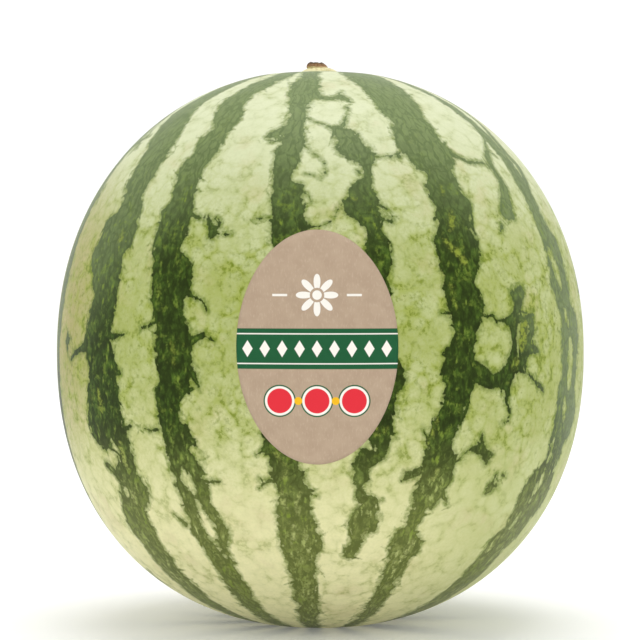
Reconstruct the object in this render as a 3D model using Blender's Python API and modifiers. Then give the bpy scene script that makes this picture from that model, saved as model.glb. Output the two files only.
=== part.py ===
"""A whole round watermelon that stands on its blossom end.

It has three pieces: the fruit, the dried stub of its stem, and an oval paper label.
Metres, +Z up. The origin is on the floor under the middle of the fruit, and the label
faces -Y.
"""
import math

import bmesh
import bpy
from mathutils import Vector

# Fruit, measured from its widest circle.
FRUIT_RADIUS = 0.1175
CROWN_RISE = 0.1259
BASE_DROP = 0.1225
CROWN_FULLNESS = 2.125
BASE_FULLNESS = 2.20
FLAT_RADIUS = 0.025
CROWN_DIP = 0.0011
CROWN_DIP_RADIUS = 0.030
LOBES = 10
LOBE_DEPTH = 0.0003
OUT_OF_ROUND = 0.0005

# Neck of the fruit, which carries the stem.
NECK_RISE = 0.0025
NECK_TOP_RADIUS = 0.0042
NECK_FOOT_RADIUS = 0.0090

# Stem stub, a plug in a socket with a low cap above the neck.
SOCKET_RADIUS = 0.0033
SOCKET_DEPTH = 0.0040
STEM_CAP_RADIUS = 0.0043
STEM_CUT_RADIUS = 0.0027
STEM_PROUD = 0.0026
STEM_CUT_DISH = 0.0005
STEM_FOOT_INSET = 0.0002

# Paper label, as seen from the front.
LABEL_HALF_WIDTH = 0.0326
LABEL_HALF_HEIGHT = 0.0473
LABEL_SIDE_SHIFT = -0.0010
LABEL_RISE = 0.0059
PAPER_THICKNESS = 0.0003

# Gap between touching pieces.
GAP = 0.0003

# Mesh fineness.
SEGMENTS = 96
BODY_RINGS = 44
NECK_RINGS = 8
STEM_SEGMENTS = 32
LABEL_CELLS = 24

COLLECTION = "watermelon"
CUTTERS = "cutters"


def superellipse(distance, reach, fullness):
    """Share of the full half-width that is left at a distance from the middle."""
    return (1 - min(distance / reach, 1) ** fullness) ** (1 / fullness)


EQUATOR_HEIGHT = BASE_DROP * superellipse(FLAT_RADIUS, FRUIT_RADIUS, BASE_FULLNESS)
NECK_HEIGHT = EQUATOR_HEIGHT + CROWN_RISE - CROWN_DIP + NECK_RISE


def radius_at(height):
    """Radius of the plain turned body at a height above the floor."""
    offset = height - EQUATOR_HEIGHT
    if offset > 0:
        return FRUIT_RADIUS * superellipse(offset, CROWN_RISE, CROWN_FULLNESS)
    return FRUIT_RADIUS * superellipse(-offset, BASE_DROP, BASE_FULLNESS)


def fade(value, start, end):
    """1 up to start and 0 from end on, with a smooth step between them."""
    step = min(max((value - start) / (end - start), 0), 1)
    return 1 - step * step * (3 - 2 * step)


def crown_dip(radius):
    """How far the crown is sunk round the stem at a distance from the axis."""
    return CROWN_DIP * fade(radius, 0, CROWN_DIP_RADIUS)


def unevenness(angle, radius):
    """How far the rind stands out or in at an angle, fading towards both poles."""
    lobes = LOBE_DEPTH * math.sin(LOBES * angle)
    oval = OUT_OF_ROUND * math.sin(2 * angle)
    return (lobes + oval) * (radius / FRUIT_RADIUS) ** 2


def rind_point(angle, height):
    """Point of the rind at an angle round the axis, 0 being the front.

    The height is the one that the point has before the crown is sunk round the stem.
    """
    radius = radius_at(height)
    sunk = height - crown_dip(radius)
    radius += unevenness(angle, radius)
    return Vector((radius * math.sin(angle), -radius * math.cos(angle), sunk))


def neck_height(radius):
    """Height of the crown and its neck at a distance from the axis."""
    crown = EQUATOR_HEIGHT + CROWN_RISE * superellipse(radius, FRUIT_RADIUS, CROWN_FULLNESS)
    neck = NECK_RISE * fade(radius, NECK_TOP_RADIUS, NECK_FOOT_RADIUS)
    return crown - crown_dip(radius) + neck


def body_height(share):
    """Height of a body ring, from the neck's foot at 0 to the flat spot at 1."""
    neck_foot = superellipse(NECK_FOOT_RADIUS, FRUIT_RADIUS, CROWN_FULLNESS)
    top = math.atan2(NECK_FOOT_RADIUS / FRUIT_RADIUS, neck_foot)
    bottom = math.pi - math.atan2(FLAT_RADIUS / FRUIT_RADIUS, EQUATOR_HEIGHT / BASE_DROP)
    polar = top + (bottom - top) * share
    reach = CROWN_RISE if polar < math.pi / 2 else BASE_DROP
    fullness = CROWN_FULLNESS if polar < math.pi / 2 else BASE_FULLNESS
    side, rise = math.sin(polar), abs(math.cos(polar))
    scale = (side ** fullness + rise ** fullness) ** (-1 / fullness)
    return max(EQUATOR_HEIGHT + math.copysign(reach * rise * scale, math.cos(polar)), 0)


def material(name, colour, roughness):
    made = bpy.data.materials.new(name)
    made.use_nodes = True
    shader = made.node_tree.nodes["Principled BSDF"]
    shader.inputs["Base Color"].default_value = (*colour, 1)
    shader.inputs["Roughness"].default_value = roughness
    shader.inputs["Metallic"].default_value = 0
    made.diffuse_color = (*colour, 1)
    return made


def clear_scene():
    for obj in list(bpy.data.objects):
        bpy.data.objects.remove(obj, do_unlink=True)


def new_collection(name):
    made = bpy.data.collections.new(name)
    bpy.context.scene.collection.children.link(made)
    return made


def add_object(name, shape, finish, collection):
    """Turn a bmesh into a smooth shaded object."""
    bmesh.ops.recalc_face_normals(shape, faces=shape.faces)
    mesh = bpy.data.meshes.new(name)
    shape.to_mesh(mesh)
    shape.free()
    mesh.shade_smooth()
    mesh.set_sharp_from_angle(angle=math.radians(40))
    if finish is not None:
        mesh.materials.append(finish)
    made = bpy.data.objects.new(name, mesh)
    collection.objects.link(made)
    return made


def fruit_ring_place(ring, angle):
    """Where a vertex of a ring goes, ring 0 being the upper pole."""
    if ring <= NECK_RINGS:
        radius = NECK_FOOT_RADIUS * ring / NECK_RINGS
        return Vector((radius * math.sin(angle), -radius * math.cos(angle), neck_height(radius)))
    share = (ring - NECK_RINGS) / BODY_RINGS
    if share <= 1:
        return rind_point(angle, body_height(share))
    return Vector((0, 0, 0))


def make_fruit(finish, collection):
    """A sphere whose rings are moved onto the neck, the body and the flat spot."""
    rings = NECK_RINGS + BODY_RINGS + 1
    shape = bmesh.new()
    bmesh.ops.create_uvsphere(shape, u_segments=SEGMENTS, v_segments=rings, radius=1)
    for vertex in shape.verts:
        polar = math.acos(min(max(vertex.co.z, -1), 1))
        angle = math.atan2(vertex.co.x, -vertex.co.y)
        vertex.co = fruit_ring_place(round(polar / math.pi * rings), angle)
    return add_object("fruit", shape, finish, collection)


def cut_socket(fruit, cutters):
    """Sink a plain round hole for the stem's plug into the top of the neck."""
    shape = bmesh.new()
    bmesh.ops.create_cone(
        shape,
        cap_ends=True,
        segments=STEM_SEGMENTS,
        radius1=SOCKET_RADIUS + GAP,
        radius2=SOCKET_RADIUS + GAP,
        depth=2 * SOCKET_DEPTH,
    )
    cutter = add_object("socket_cutter", shape, None, cutters)
    cutter.location.z = NECK_HEIGHT
    cutter.hide_render = True
    cutter.display_type = "WIRE"
    cut = fruit.modifiers.new("stem socket", "BOOLEAN")
    cut.operation = "DIFFERENCE"
    cut.object = cutter


def stem_profile():
    """Half outline of the stem, as radius and height above the neck, from the cut end down."""
    plug_foot = GAP - SOCKET_DEPTH
    cap_top = GAP + STEM_PROUD
    shoulder_reach = STEM_CAP_RADIUS - STEM_CUT_RADIUS
    return [
        (0, cap_top - STEM_CUT_DISH),
        (0.7 * STEM_CUT_RADIUS, cap_top - 0.6 * STEM_CUT_DISH),
        (STEM_CUT_RADIUS, cap_top),
        (STEM_CUT_RADIUS + 0.7 * shoulder_reach, cap_top - 0.35 * STEM_PROUD),
        (STEM_CAP_RADIUS, cap_top - 0.8 * STEM_PROUD),
        (STEM_CAP_RADIUS - STEM_FOOT_INSET, GAP),
        (SOCKET_RADIUS, GAP),
        (SOCKET_RADIUS, plug_foot),
        (0, plug_foot),
    ]


def make_stem(finish, collection):
    """Turn the plug and its low cap, with a slightly hollow cut end."""
    points = [(radius, 0, height) for radius, height in stem_profile()]
    edges = [(i, i + 1) for i in range(len(points) - 1)]
    mesh = bpy.data.meshes.new("stem_stub")
    mesh.from_pydata(points, edges, [])
    mesh.materials.append(finish)
    made = bpy.data.objects.new("stem_stub", mesh)
    collection.objects.link(made)
    made.location.z = NECK_HEIGHT
    turn = made.modifiers.new("turn", "SCREW")
    turn.steps = STEM_SEGMENTS
    turn.render_steps = STEM_SEGMENTS
    turn.use_merge_vertices = True
    turn.merge_threshold = 0.00005
    turn.use_smooth_shade = True


def label_place(across, up):
    """Point on the rind under a place of the label, both from -1 to 1 over a disc."""
    height = EQUATOR_HEIGHT + LABEL_RISE + LABEL_HALF_HEIGHT * up
    side = LABEL_SIDE_SHIFT + LABEL_HALF_WIDTH * across
    point = rind_point(math.asin(side / radius_at(height)), height)
    outward = (point - Vector((0, 0, EQUATOR_HEIGHT))).normalized()
    return point + GAP * outward


def make_label(finish, collection):
    """A square sheet of cells rounded to an oval, laid on the rind and given thickness."""
    shape = bmesh.new()
    bmesh.ops.create_grid(shape, x_segments=LABEL_CELLS, y_segments=LABEL_CELLS, size=1)
    for vertex in shape.verts:
        u, v = vertex.co.x, vertex.co.y
        across = u * math.sqrt(1 - v * v / 2)
        up = v * math.sqrt(1 - u * u / 2)
        vertex.co = label_place(across, up)
    mesh = bpy.data.meshes.new("label")
    shape.to_mesh(mesh)
    shape.free()
    mesh.shade_smooth()
    mesh.materials.append(finish)
    made = bpy.data.objects.new("label", mesh)
    collection.objects.link(made)
    paper = made.modifiers.new("paper", "SOLIDIFY")
    paper.thickness = PAPER_THICKNESS
    paper.offset = 1


def main():
    clear_scene()
    parts = new_collection(COLLECTION)
    cutters = new_collection(CUTTERS)
    rind = material("green rind", (0.42, 0.52, 0.22), 0.45)
    stalk = material("dried stem", (0.20, 0.10, 0.05), 0.85)
    paper = material("brown paper", (0.50, 0.38, 0.26), 0.75)
    fruit = make_fruit(rind, parts)
    cut_socket(fruit, cutters)
    make_stem(stalk, parts)
    make_label(paper, parts)


main()
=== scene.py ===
"""Looks of a whole watermelon: striped waxy rind, dried stem stub and kraft paper label."""

import logging
import math
from dataclasses import dataclass, field, replace
from enum import Enum

import bmesh
import bpy
import numpy as np
from mathutils import Matrix, Vector


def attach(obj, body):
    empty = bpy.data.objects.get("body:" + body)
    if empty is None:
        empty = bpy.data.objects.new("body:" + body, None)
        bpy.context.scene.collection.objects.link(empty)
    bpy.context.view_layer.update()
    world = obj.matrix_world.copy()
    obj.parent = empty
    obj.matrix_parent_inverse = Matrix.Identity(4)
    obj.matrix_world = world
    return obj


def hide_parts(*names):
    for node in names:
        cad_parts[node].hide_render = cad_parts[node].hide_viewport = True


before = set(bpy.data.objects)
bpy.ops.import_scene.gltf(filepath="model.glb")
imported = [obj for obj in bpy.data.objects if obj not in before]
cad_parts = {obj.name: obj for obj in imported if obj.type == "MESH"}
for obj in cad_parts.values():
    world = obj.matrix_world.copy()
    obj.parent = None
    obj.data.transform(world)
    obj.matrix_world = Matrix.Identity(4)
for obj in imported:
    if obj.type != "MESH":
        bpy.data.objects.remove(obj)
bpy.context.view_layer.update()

log = logging.getLogger("watermelon")

MM = 0.001


def linear(hex_colour: str) -> tuple[float, float, float, float]:
    """Turn an sRGB hex colour into linear values.

    Args:
        hex_colour: six hex digits after a hash sign.

    Returns:
        Red, green, blue and an alpha of 1.
    """
    shares = [int(hex_colour[i:i + 2], 16) / 255 for i in (1, 3, 5)]
    return (*[c / 12.92 if c <= 0.04045 else ((c + 0.055) / 1.055) ** 2.4 for c in shares], 1.0)


def feed(tree: bpy.types.NodeTree, node: bpy.types.Node, inputs: dict) -> None:
    """Give a node's inputs their values and links.

    Args:
        tree: the tree that holds the node.
        node: the node.
        inputs: input name or index to a Field, a socket or a plain value.
    """
    for key, value in inputs.items():
        if isinstance(value, Field):
            value = value.socket
        if isinstance(value, bpy.types.NodeSocket):
            tree.links.new(value, node.inputs[key])
        else:
            node.inputs[key].default_value = value


def add_node(tree: bpy.types.NodeTree, kind: str, settings: dict, inputs: dict) -> bpy.types.Node:
    """Add a node with its settings, values and links.

    Args:
        tree: the shader or geometry tree that gets the node.
        kind: the node's type name.
        settings: the node's properties by name.
        inputs: input name or index to a Field, a socket or a plain value.

    Returns:
        The new node.
    """
    node = tree.nodes.new(kind)
    for name, value in settings.items():
        setattr(node, name, value)
    feed(tree, node, inputs)
    return node


def new_material(name: str) -> tuple[bpy.types.Material, bpy.types.NodeTree, bpy.types.Node]:
    """Start a material.

    Args:
        name: its name.

    Returns:
        The material, its tree and its shader.
    """
    made = bpy.data.materials.new(name)
    made.use_nodes = True
    return made, made.node_tree, made.node_tree.nodes["Principled BSDF"]


def once_round(count: int) -> np.ndarray:
    """Equally spaced angles once round, in radians from 0."""
    return np.arange(count) * 2 * math.pi / count


@dataclass(frozen=True)
class Field:
    """A number that varies over a piece: one output of a node tree, open to arithmetic."""

    tree: bpy.types.NodeTree
    socket: bpy.types.NodeSocket

    def math(self, operation: str, *others: "Field | float") -> "Field":
        """Combine this number with others.

        Args:
            operation: one of the Math node's operations.
            others: the other numbers, in the node's order.

        Returns:
            The result.
        """
        inputs = dict(enumerate((self, *others)))
        node = add_node(self.tree, "ShaderNodeMath", {"operation": operation}, inputs)
        return Field(self.tree, node.outputs[0])

    def __add__(self, other: "Field | float") -> "Field":
        """Sum."""
        return self.math("ADD", other)

    def __sub__(self, other: "Field | float") -> "Field":
        """Difference."""
        return self.math("SUBTRACT", other)

    def __mul__(self, other: "Field | float") -> "Field":
        """Product."""
        return self.math("MULTIPLY", other)

    def __truediv__(self, other: "Field | float") -> "Field":
        """Quotient."""
        return self.math("DIVIDE", other)

    def __pow__(self, other: "Field | float") -> "Field":
        """Power."""
        return self.math("POWER", other)

    def least(self, other: "Field | float") -> "Field":
        """The smaller of two numbers."""
        return self.math("MINIMUM", other)

    def most(self, other: "Field | float") -> "Field":
        """The larger of two numbers."""
        return self.math("MAXIMUM", other)

    def ramp(
        self, start: "Field | float", end: "Field | float", low: float = 0.0, high: float = 1.0
    ) -> "Field":
        """Run smoothly from low to high as this number goes from start to end.

        Args:
            start: the number that gives low, as do those on its far side.
            end: the number that gives high, as do those on its far side.
            low: the result at the start.
            high: the result at the end.

        Returns:
            The result.
        """
        node = add_node(
            self.tree,
            "ShaderNodeMapRange",
            {"interpolation_type": "SMOOTHSTEP"},
            {"Value": self, "From Min": start, "From Max": end, "To Min": low, "To Max": high},
        )
        return Field(self.tree, node.outputs["Result"])


def blend(amount: Field, first: object, second: object) -> bpy.types.NodeSocket:
    """Mix two colours.

    Args:
        amount: 0 for the first colour, 1 for the second.
        first: a hex colour or a colour socket.
        second: a hex colour or a colour socket.

    Returns:
        The mixed colour's socket.
    """
    first, second = (linear(c) if isinstance(c, str) else c for c in (first, second))
    settings = {"data_type": "RGBA", "clamp_factor": True}
    node = add_node(amount.tree, "ShaderNodeMix", settings, {0: amount, 6: first, 7: second})
    return node.outputs[2]


@dataclass(frozen=True)
class FruitForm:
    """The fruit's outside as a turned superellipse, faintly lobed, with a neck and a flat spot."""

    radius: float = 117.5 * MM
    crown_rise: float = 125.9 * MM
    base_drop: float = 122.5 * MM
    crown_fullness: float = 2.125
    base_fullness: float = 2.20
    flat_radius: float = 25 * MM
    crown_dip: float = 1.6 * MM
    crown_dip_radius: float = 30 * MM
    lobes: int = 10
    lobe_depth: float = 0.3 * MM
    out_of_round: float = 0.5 * MM
    neck_rise: float = 2.7 * MM
    neck_top: float = 4.2 * MM
    neck_foot: float = 11.0 * MM

    @property
    def equator(self) -> float:
        """Height of the widest circle above the floor."""
        share = (self.flat_radius / self.radius) ** self.base_fullness
        return self.base_drop * (1 - share) ** (1 / self.base_fullness)

    @property
    def neck_height(self) -> float:
        """Height of the neck's top above the floor."""
        return self.equator + self.crown_rise - self.crown_dip + self.neck_rise

    def turned_radius(self, height: np.ndarray) -> np.ndarray:
        """Turn the outline of the plain body.

        Args:
            height: heights above the floor.

        Returns:
            The body's radius at each height.
        """
        offset = np.asarray(height, float) - self.equator
        reach = np.where(offset > 0, self.crown_rise, self.base_drop)
        fullness = np.where(offset > 0, self.crown_fullness, self.base_fullness)
        share = np.minimum(np.abs(offset) / reach, 1) ** fullness
        return self.radius * (1 - share) ** (1 / fullness)

    def dip(self, radius: np.ndarray) -> np.ndarray:
        """How far the crown is sunk round the stem at distances from the axis."""
        step = np.clip(radius / self.crown_dip_radius, 0, 1)
        return self.crown_dip * (1 - step * step * (3 - 2 * step))

    def points(self, angle: np.ndarray, height: np.ndarray) -> np.ndarray:
        """Points of the rind.

        Args:
            angle: angles round the axis in radians, 0 at the front.
            height: heights above the floor, before the crown is sunk round the stem.

        Returns:
            One row of x, y and z for each angle and height.
        """
        radius = self.turned_radius(height)
        sunk = height - self.dip(radius)
        lobes = self.lobe_depth * np.sin(self.lobes * angle)
        oval = self.out_of_round * np.sin(2 * angle)
        radius = radius + (lobes + oval) * (radius / self.radius) ** 2
        return np.stack([radius * np.sin(angle), -radius * np.cos(angle), sunk], axis=-1)

    def front_points(self, side: np.ndarray, height: np.ndarray) -> np.ndarray:
        """Points on the front of the rind from their distance to the right and their height."""
        angle = np.arcsin(side / self.turned_radius(height))
        return self.points(angle, height)

    def outward(self, points: np.ndarray) -> np.ndarray:
        """Unit directions from the fruit's middle through points of the rind."""
        arms = points - np.array([0, 0, self.equator])
        return arms / np.linalg.norm(arms, axis=-1, keepdims=True)


@dataclass(frozen=True)
class Viewpoint:
    """Where the photograph was taken from, and its scale.

    The fruit's middle lies at (middle_x, middle_y) in the photograph's 640 pixel frame, and
    its widest circle reaches half_width pixels to each side. A ray through a pixel is
    followed from ray_near crown heights before the fruit's middle to ray_past metres behind.
    """

    form: FruitForm
    distance: float = 1.10
    elevation: float = math.radians(2.0)
    middle_x: float = 319.5
    middle_y: float = 361.0
    half_width: float = 271.5
    frame_px: float = 640.0
    ray_steps: int = 900
    ray_near: float = 1.1
    ray_past: float = 0.02

    @property
    def focal_px(self) -> float:
        """Focal length in pixels that gives the fruit its width in the picture."""
        reach = math.sqrt(self.distance ** 2 - self.form.radius ** 2)
        return self.half_width * reach / self.form.radius

    @property
    def middle(self) -> Vector:
        """The fruit's middle."""
        return Vector((0, 0, self.form.equator))

    @property
    def eye(self) -> Vector:
        """The camera's place."""
        back = Vector((0, -math.cos(self.elevation), math.sin(self.elevation)))
        return self.middle + self.distance * back

    @property
    def turn(self) -> Matrix:
        """The camera's rotation.

        Returns:
            The rotation that puts the fruit's middle where the photograph has it.
        """
        centre = self.frame_px / 2
        pitch = self.elevation - math.atan((self.middle_y - centre) / self.focal_px)
        yaw = math.atan((self.middle_x - centre) / self.focal_px)
        return Matrix.Rotation(yaw, 3, "Z") @ Matrix.Rotation(math.pi / 2 - pitch, 3, "X")

    def rind_points(self, pixels: np.ndarray) -> np.ndarray:
        """Cast pixels of the photograph onto the rind.

        Args:
            pixels: rows of x and y in the photograph.

        Returns:
            Rows of x, y and z, the nearest point of the outline for a pixel just outside it.
        """
        centre = self.frame_px / 2
        across, up = pixels[:, 0] - centre, centre - pixels[:, 1]
        rays = np.stack([across, up, 0 * across - self.focal_px], 1) @ np.array(self.turn).T
        rays /= np.linalg.norm(rays, axis=1, keepdims=True)
        near = self.distance - self.ray_near * self.form.crown_rise
        steps = np.linspace(near, self.distance + self.ray_past, self.ray_steps)
        path = np.array(self.eye) + steps[None, :, None] * rays[:, None, :]
        outside = np.hypot(path[..., 0], path[..., 1]) - self.form.turned_radius(path[..., 2])
        entered = outside < 0
        first = np.where(entered.any(1), entered.argmax(1), outside.argmin(1))
        found = path[np.arange(len(pixels)), first]
        return self.form.points(np.arctan2(found[:, 0], -found[:, 1]), found[:, 2])


# Edges of the dark stripes on the front, as rows of (y, left x, right x) read from the
# photograph's 640 pixel frame. They are cast onto the rind through the Viewpoint.
FAR_LEFT_STRIPE = (
    (98, 198, 209), (113, 173, 188), (139, 150, 172), (162, 137, 159), (187, 122, 143),
    (204, 118, 132), (219, 111, 133), (239, 95, 128), (259, 87, 115), (278, 87, 113),
    (304, 86, 109), (329, 81, 104), (355, 77, 102), (380, 83, 109), (406, 81, 111),
    (431, 81, 115), (447, 100, 120), (464, 109, 124), (489, 110, 129), (502, 114, 140),
    (521, 117, 136), (540, 123, 145), (559, 138, 155), (577, 151, 168),
)
LEFT_STRIPE = (
    (79, 266, 284), (97, 230, 250), (105, 218, 243), (113, 216, 239), (124, 213, 236),
    (132, 207, 228), (143, 196, 221), (152, 193, 216), (162, 188, 206), (169, 179, 201),
    (175, 174, 198), (187, 173, 195), (200, 168, 189), (209, 164, 187), (219, 157, 187),
    (239, 151, 182), (259, 148, 175), (278, 148, 187), (297, 145, 187), (316, 148, 173),
    (336, 150, 180), (348, 150, 188), (367, 151, 184), (387, 155, 190), (406, 151, 175),
    (432, 155, 173), (451, 161, 189), (470, 164, 199), (489, 168, 199), (508, 175, 203),
    (528, 182, 213), (547, 189, 225), (559, 198, 222), (577, 210, 231),
)
MIDDLE_STRIPE = (
    (74, 302, 318), (80, 299, 318), (85, 293, 319), (94, 290, 320), (101, 289, 313),
    (107, 290, 308), (113, 291, 307), (119, 289, 303), (126, 284, 301), (135, 281, 301),
    (147, 279, 302), (157, 275, 298), (166, 274, 297), (174, 274, 291), (185, 274, 293),
    (193, 273, 297), (198, 272, 304), (213, 270, 302), (219, 269, 303), (224, 272, 305),
    (235, 273, 309), (290, 276, 306), (350, 272, 300), (410, 262, 290), (457, 262, 288),
    (470, 266, 300), (483, 269, 300), (496, 273, 305), (508, 279, 312), (528, 277, 310),
    (540, 279, 315), (559, 281, 321), (577, 288, 314),
)
MIDDLE_RIGHT_STRIPE = (
    (130, 334, 341), (133, 333, 347), (139, 334, 356), (143, 335, 361), (150, 338, 366),
    (155, 346, 372), (160, 356, 377), (165, 361, 371), (173, 363, 371), (181, 364, 371),
    (188, 362, 372), (192, 355, 372), (198, 356, 374), (204, 347, 378), (209, 345, 380),
    (214, 350, 380), (219, 356, 381), (224, 365, 384), (234, 368, 381), (245, 368, 388),
    (255, 368, 392), (275, 372, 391), (300, 378, 392), (350, 378, 392), (390, 392, 407),
    (412, 388, 398), (425, 384, 394), (438, 376, 396), (451, 370, 392), (464, 364, 385),
    (476, 355, 370), (489, 355, 369), (502, 358, 363), (511, 360, 365), (518, 362, 378),
    (528, 356, 378), (538, 351, 378), (549, 350, 364), (562, 347, 361), (571, 345, 356),
)
RIGHT_STRIPE = (
    (76, 350, 376), (85, 358, 395), (90, 366, 403), (95, 370, 409), (100, 374, 413),
    (106, 379, 418), (111, 382, 421), (117, 388, 424), (126, 397, 432), (136, 397, 434),
    (147, 400, 448), (152, 404, 452), (157, 408, 454), (161, 419, 453), (168, 424, 452),
    (180, 430, 457), (190, 430, 462), (203, 435, 467), (211, 440, 473), (221, 438, 475),
    (233, 442, 476), (247, 439, 481), (259, 440, 483), (278, 446, 479), (294, 449, 479),
    (314, 452, 487), (327, 455, 484), (340, 459, 481), (354, 454, 477), (367, 448, 478),
    (381, 445, 480), (394, 451, 478), (414, 447, 472), (434, 437, 463), (451, 431, 457),
    (470, 429, 459), (489, 422, 455), (508, 417, 446), (522, 416, 430), (534, 412, 425),
    (544, 408, 417), (554, 395, 420), (562, 392, 424), (577, 391, 408),
)
FAR_RIGHT_STRIPE = (
    (213, 537, 545), (239, 547, 556), (253, 551, 565), (294, 559, 575), (320, 568, 578),
    (340, 569, 585), (387, 569, 582), (407, 565, 581), (427, 562, 581), (451, 557, 572),
    (470, 553, 566), (489, 542, 557), (508, 526, 553), (528, 517, 539), (547, 508, 526),
    (559, 493, 511), (577, 479, 498),
)
FULL_STRIPES = (FAR_LEFT_STRIPE, LEFT_STRIPE, MIDDLE_STRIPE, RIGHT_STRIPE, FAR_RIGHT_STRIPE)

# Side branches, hooks and spots on the front, each a stroke of (x, y, width) in the same frame.
FRONT_STROKES = (
    ((430, 90, 4), (461, 108, 5), (485, 126, 5), (496, 138, 6), (510, 155, 6), (524, 170, 5),
     (531, 183, 6), (534, 197, 8), (541, 211, 8)),
    ((489, 141, 2), (491, 151, 3), (492, 160, 6), (496, 170, 6), (503, 181, 6), (509, 191, 8),
     (510, 200, 11), (511, 209, 13), (511, 217, 14)),
    ((515, 218, 6), (520, 224, 2)),
    ((506, 231, 4), (505, 237, 2)),
    ((492, 153, 2), (502, 160, 2)),
    ((455, 158, 7), (463, 160, 4), (471, 165, 4), (479, 166, 4), (487, 166, 4)),
    ((474, 376, 14), (484, 384, 18), (494, 391, 13), (503, 391, 11), (511, 386, 14),
     (516, 378, 12), (517, 368, 9), (519, 360, 6), (519, 350, 5), (518, 341, 6), (518, 333, 9),
     (518, 327, 9), (521, 320, 7), (523, 310, 8), (523, 302, 10), (525, 295, 4)),
    ((522, 327, 4), (530, 328, 4), (537, 331, 5), (537, 339, 5), (534, 347, 5), (533, 354, 5),
     (530, 361, 8), (528, 370, 7), (524, 378, 6)),
    ((519, 305, 5), (515, 299, 3)),
    ((527, 303, 4), (529, 298, 2)),
    ((534, 360, 6), (541, 358, 4), (544, 361, 2)),
    ((514, 328, 6), (507, 329, 3), (500, 329, 3)),
    ((532, 326, 4), (538, 323, 3)),
    ((487, 324, 5), (492, 325, 3), (497, 322, 2)),
    ((523, 379, 3), (535, 385, 2), (540, 391, 2), (546, 397, 3), (549, 401, 2)),
    ((511, 392, 8), (512, 403, 5), (511, 411, 4)),
    ((513, 417, 3), (514, 425, 3)),
    ((512, 432, 3), (506, 434, 2)),
    ((486, 445, 2), (486, 453, 4), (486, 461, 7), (490, 467, 6), (491, 475, 4)),
    ((461, 474, 2), (466, 468, 2), (472, 462, 3), (480, 461, 6), (488, 464, 8), (496, 467, 4)),
    ((500, 488, 2), (497, 495, 4), (494, 503, 5), (489, 507, 3)),
    ((492, 498, 3), (500, 499, 4)),
    ((507, 488, 3), (510, 490, 2)),
    ((205, 220, 2), (206, 226, 6), (209, 232, 7), (209, 239, 9), (208, 242, 6)),
    ((214, 233, 5), (217, 226, 4), (214, 222, 2)),
    ((210, 238, 6), (217, 239, 2)),
    ((207, 242, 5), (204, 243, 2)),
    ((187, 219, 5), (193, 222, 4), (198, 223, 3)),
    ((218, 240, 2), (224, 240, 3), (229, 239, 2)),
    ((79, 355, 6), (73, 358, 3), (67, 362, 3), (63, 369, 2)),
    ((103, 345, 5), (110, 344, 3), (116, 343, 2)),
    ((106, 380, 7), (112, 383, 4)),
    ((183, 352, 10), (191, 348, 7), (199, 344, 5), (204, 346, 3), (211, 350, 2)),
    ((197, 346, 3), (201, 341, 2)),
    ((184, 300, 8), (190, 304, 4), (198, 308, 3), (202, 314, 4), (203, 319, 3)),
    ((185, 379, 10), (190, 387, 7), (194, 394, 4), (196, 400, 2)),
    ((149, 331, 4), (141, 334, 3), (134, 336, 2)),
    ((151, 441, 4), (144, 442, 3), (138, 440, 2)),
    ((199, 494, 4), (208, 495, 3), (217, 495, 2)),
    ((181, 538, 6), (173, 532, 3), (168, 527, 2)),
    ((312, 97, 9), (322, 99, 7), (333, 100, 6), (342, 98, 8), (348, 101, 6), (351, 103, 3)),
    ((338, 97, 4), (342, 92, 2)),
    ((348, 109, 4), (349, 111, 3)),
    ((348, 116, 3), (346, 121, 3), (344, 127, 5), (341, 131, 6)),
    ((290, 130, 13), (279, 134, 12), (271, 137, 9), (265, 139, 4)),
    ((283, 141, 8), (275, 144, 4), (268, 145, 2)),
    ((304, 118, 2), (312, 123, 2), (323, 126, 2), (333, 130, 4)),
    ((358, 141, 6), (359, 136, 3)),
    ((371, 156, 7), (377, 160, 3), (386, 160, 2), (393, 158, 2), (403, 161, 3)),
    ((301, 147, 4), (308, 152, 2), (315, 157, 2), (321, 162, 2)),
    ((323, 163, 1), (326, 171, 2), (325, 179, 1)),
    ((305, 177, 2), (313, 179, 1), (321, 182, 2)),
    ((304, 197, 5), (309, 200, 2), (311, 206, 2)),
    ((306, 234, 4), (313, 232, 2), (321, 231, 2), (329, 228, 2), (335, 222, 1), (338, 214, 2),
     (343, 208, 3)),
    ((359, 175, 4), (361, 177, 4)),
    ((379, 209, 6), (384, 211, 3), (391, 215, 2)),
    ((379, 222, 7), (386, 225, 4), (393, 227, 5), (395, 224, 3)),
    ((404, 154, 4), (398, 158, 2), (392, 160, 3)),
    ((270, 222, 4), (262, 223, 3), (254, 224, 3)),
    ((389, 262, 5), (394, 272, 3)),
    ((453, 321, 5), (447, 322, 3), (444, 321, 2)),
    ((453, 358, 6), (447, 362, 3)),
    ((275, 494, 6), (266, 494, 4), (260, 498, 3), (257, 502, 2)),
    ((262, 494, 3), (257, 491, 2)),
    ((266, 460, 8), (259, 464, 4), (254, 467, 2)),
    ((312, 508, 5), (318, 510, 2)),
    ((372, 519, 5), (379, 515, 3), (384, 514, 2)),
    ((432, 482, 9), (420, 485, 9), (410, 489, 7), (404, 494, 2)),
    ((411, 488, 4), (407, 484, 2)),
    ((432, 452, 6), (428, 446, 3), (426, 439, 2)),
    ((444, 505, 8), (448, 512, 4), (450, 518, 2)),
    ((458, 475, 3), (466, 469, 2), (472, 463, 2)),
    ((392, 446, 5), (399, 444, 2)),
    ((100, 477, 5), (108, 486, 5), (113, 492, 6)),
    ((128, 498, 7), (139, 502, 5)),
    ((118, 440, 5), (124, 437, 2)),
)

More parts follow.
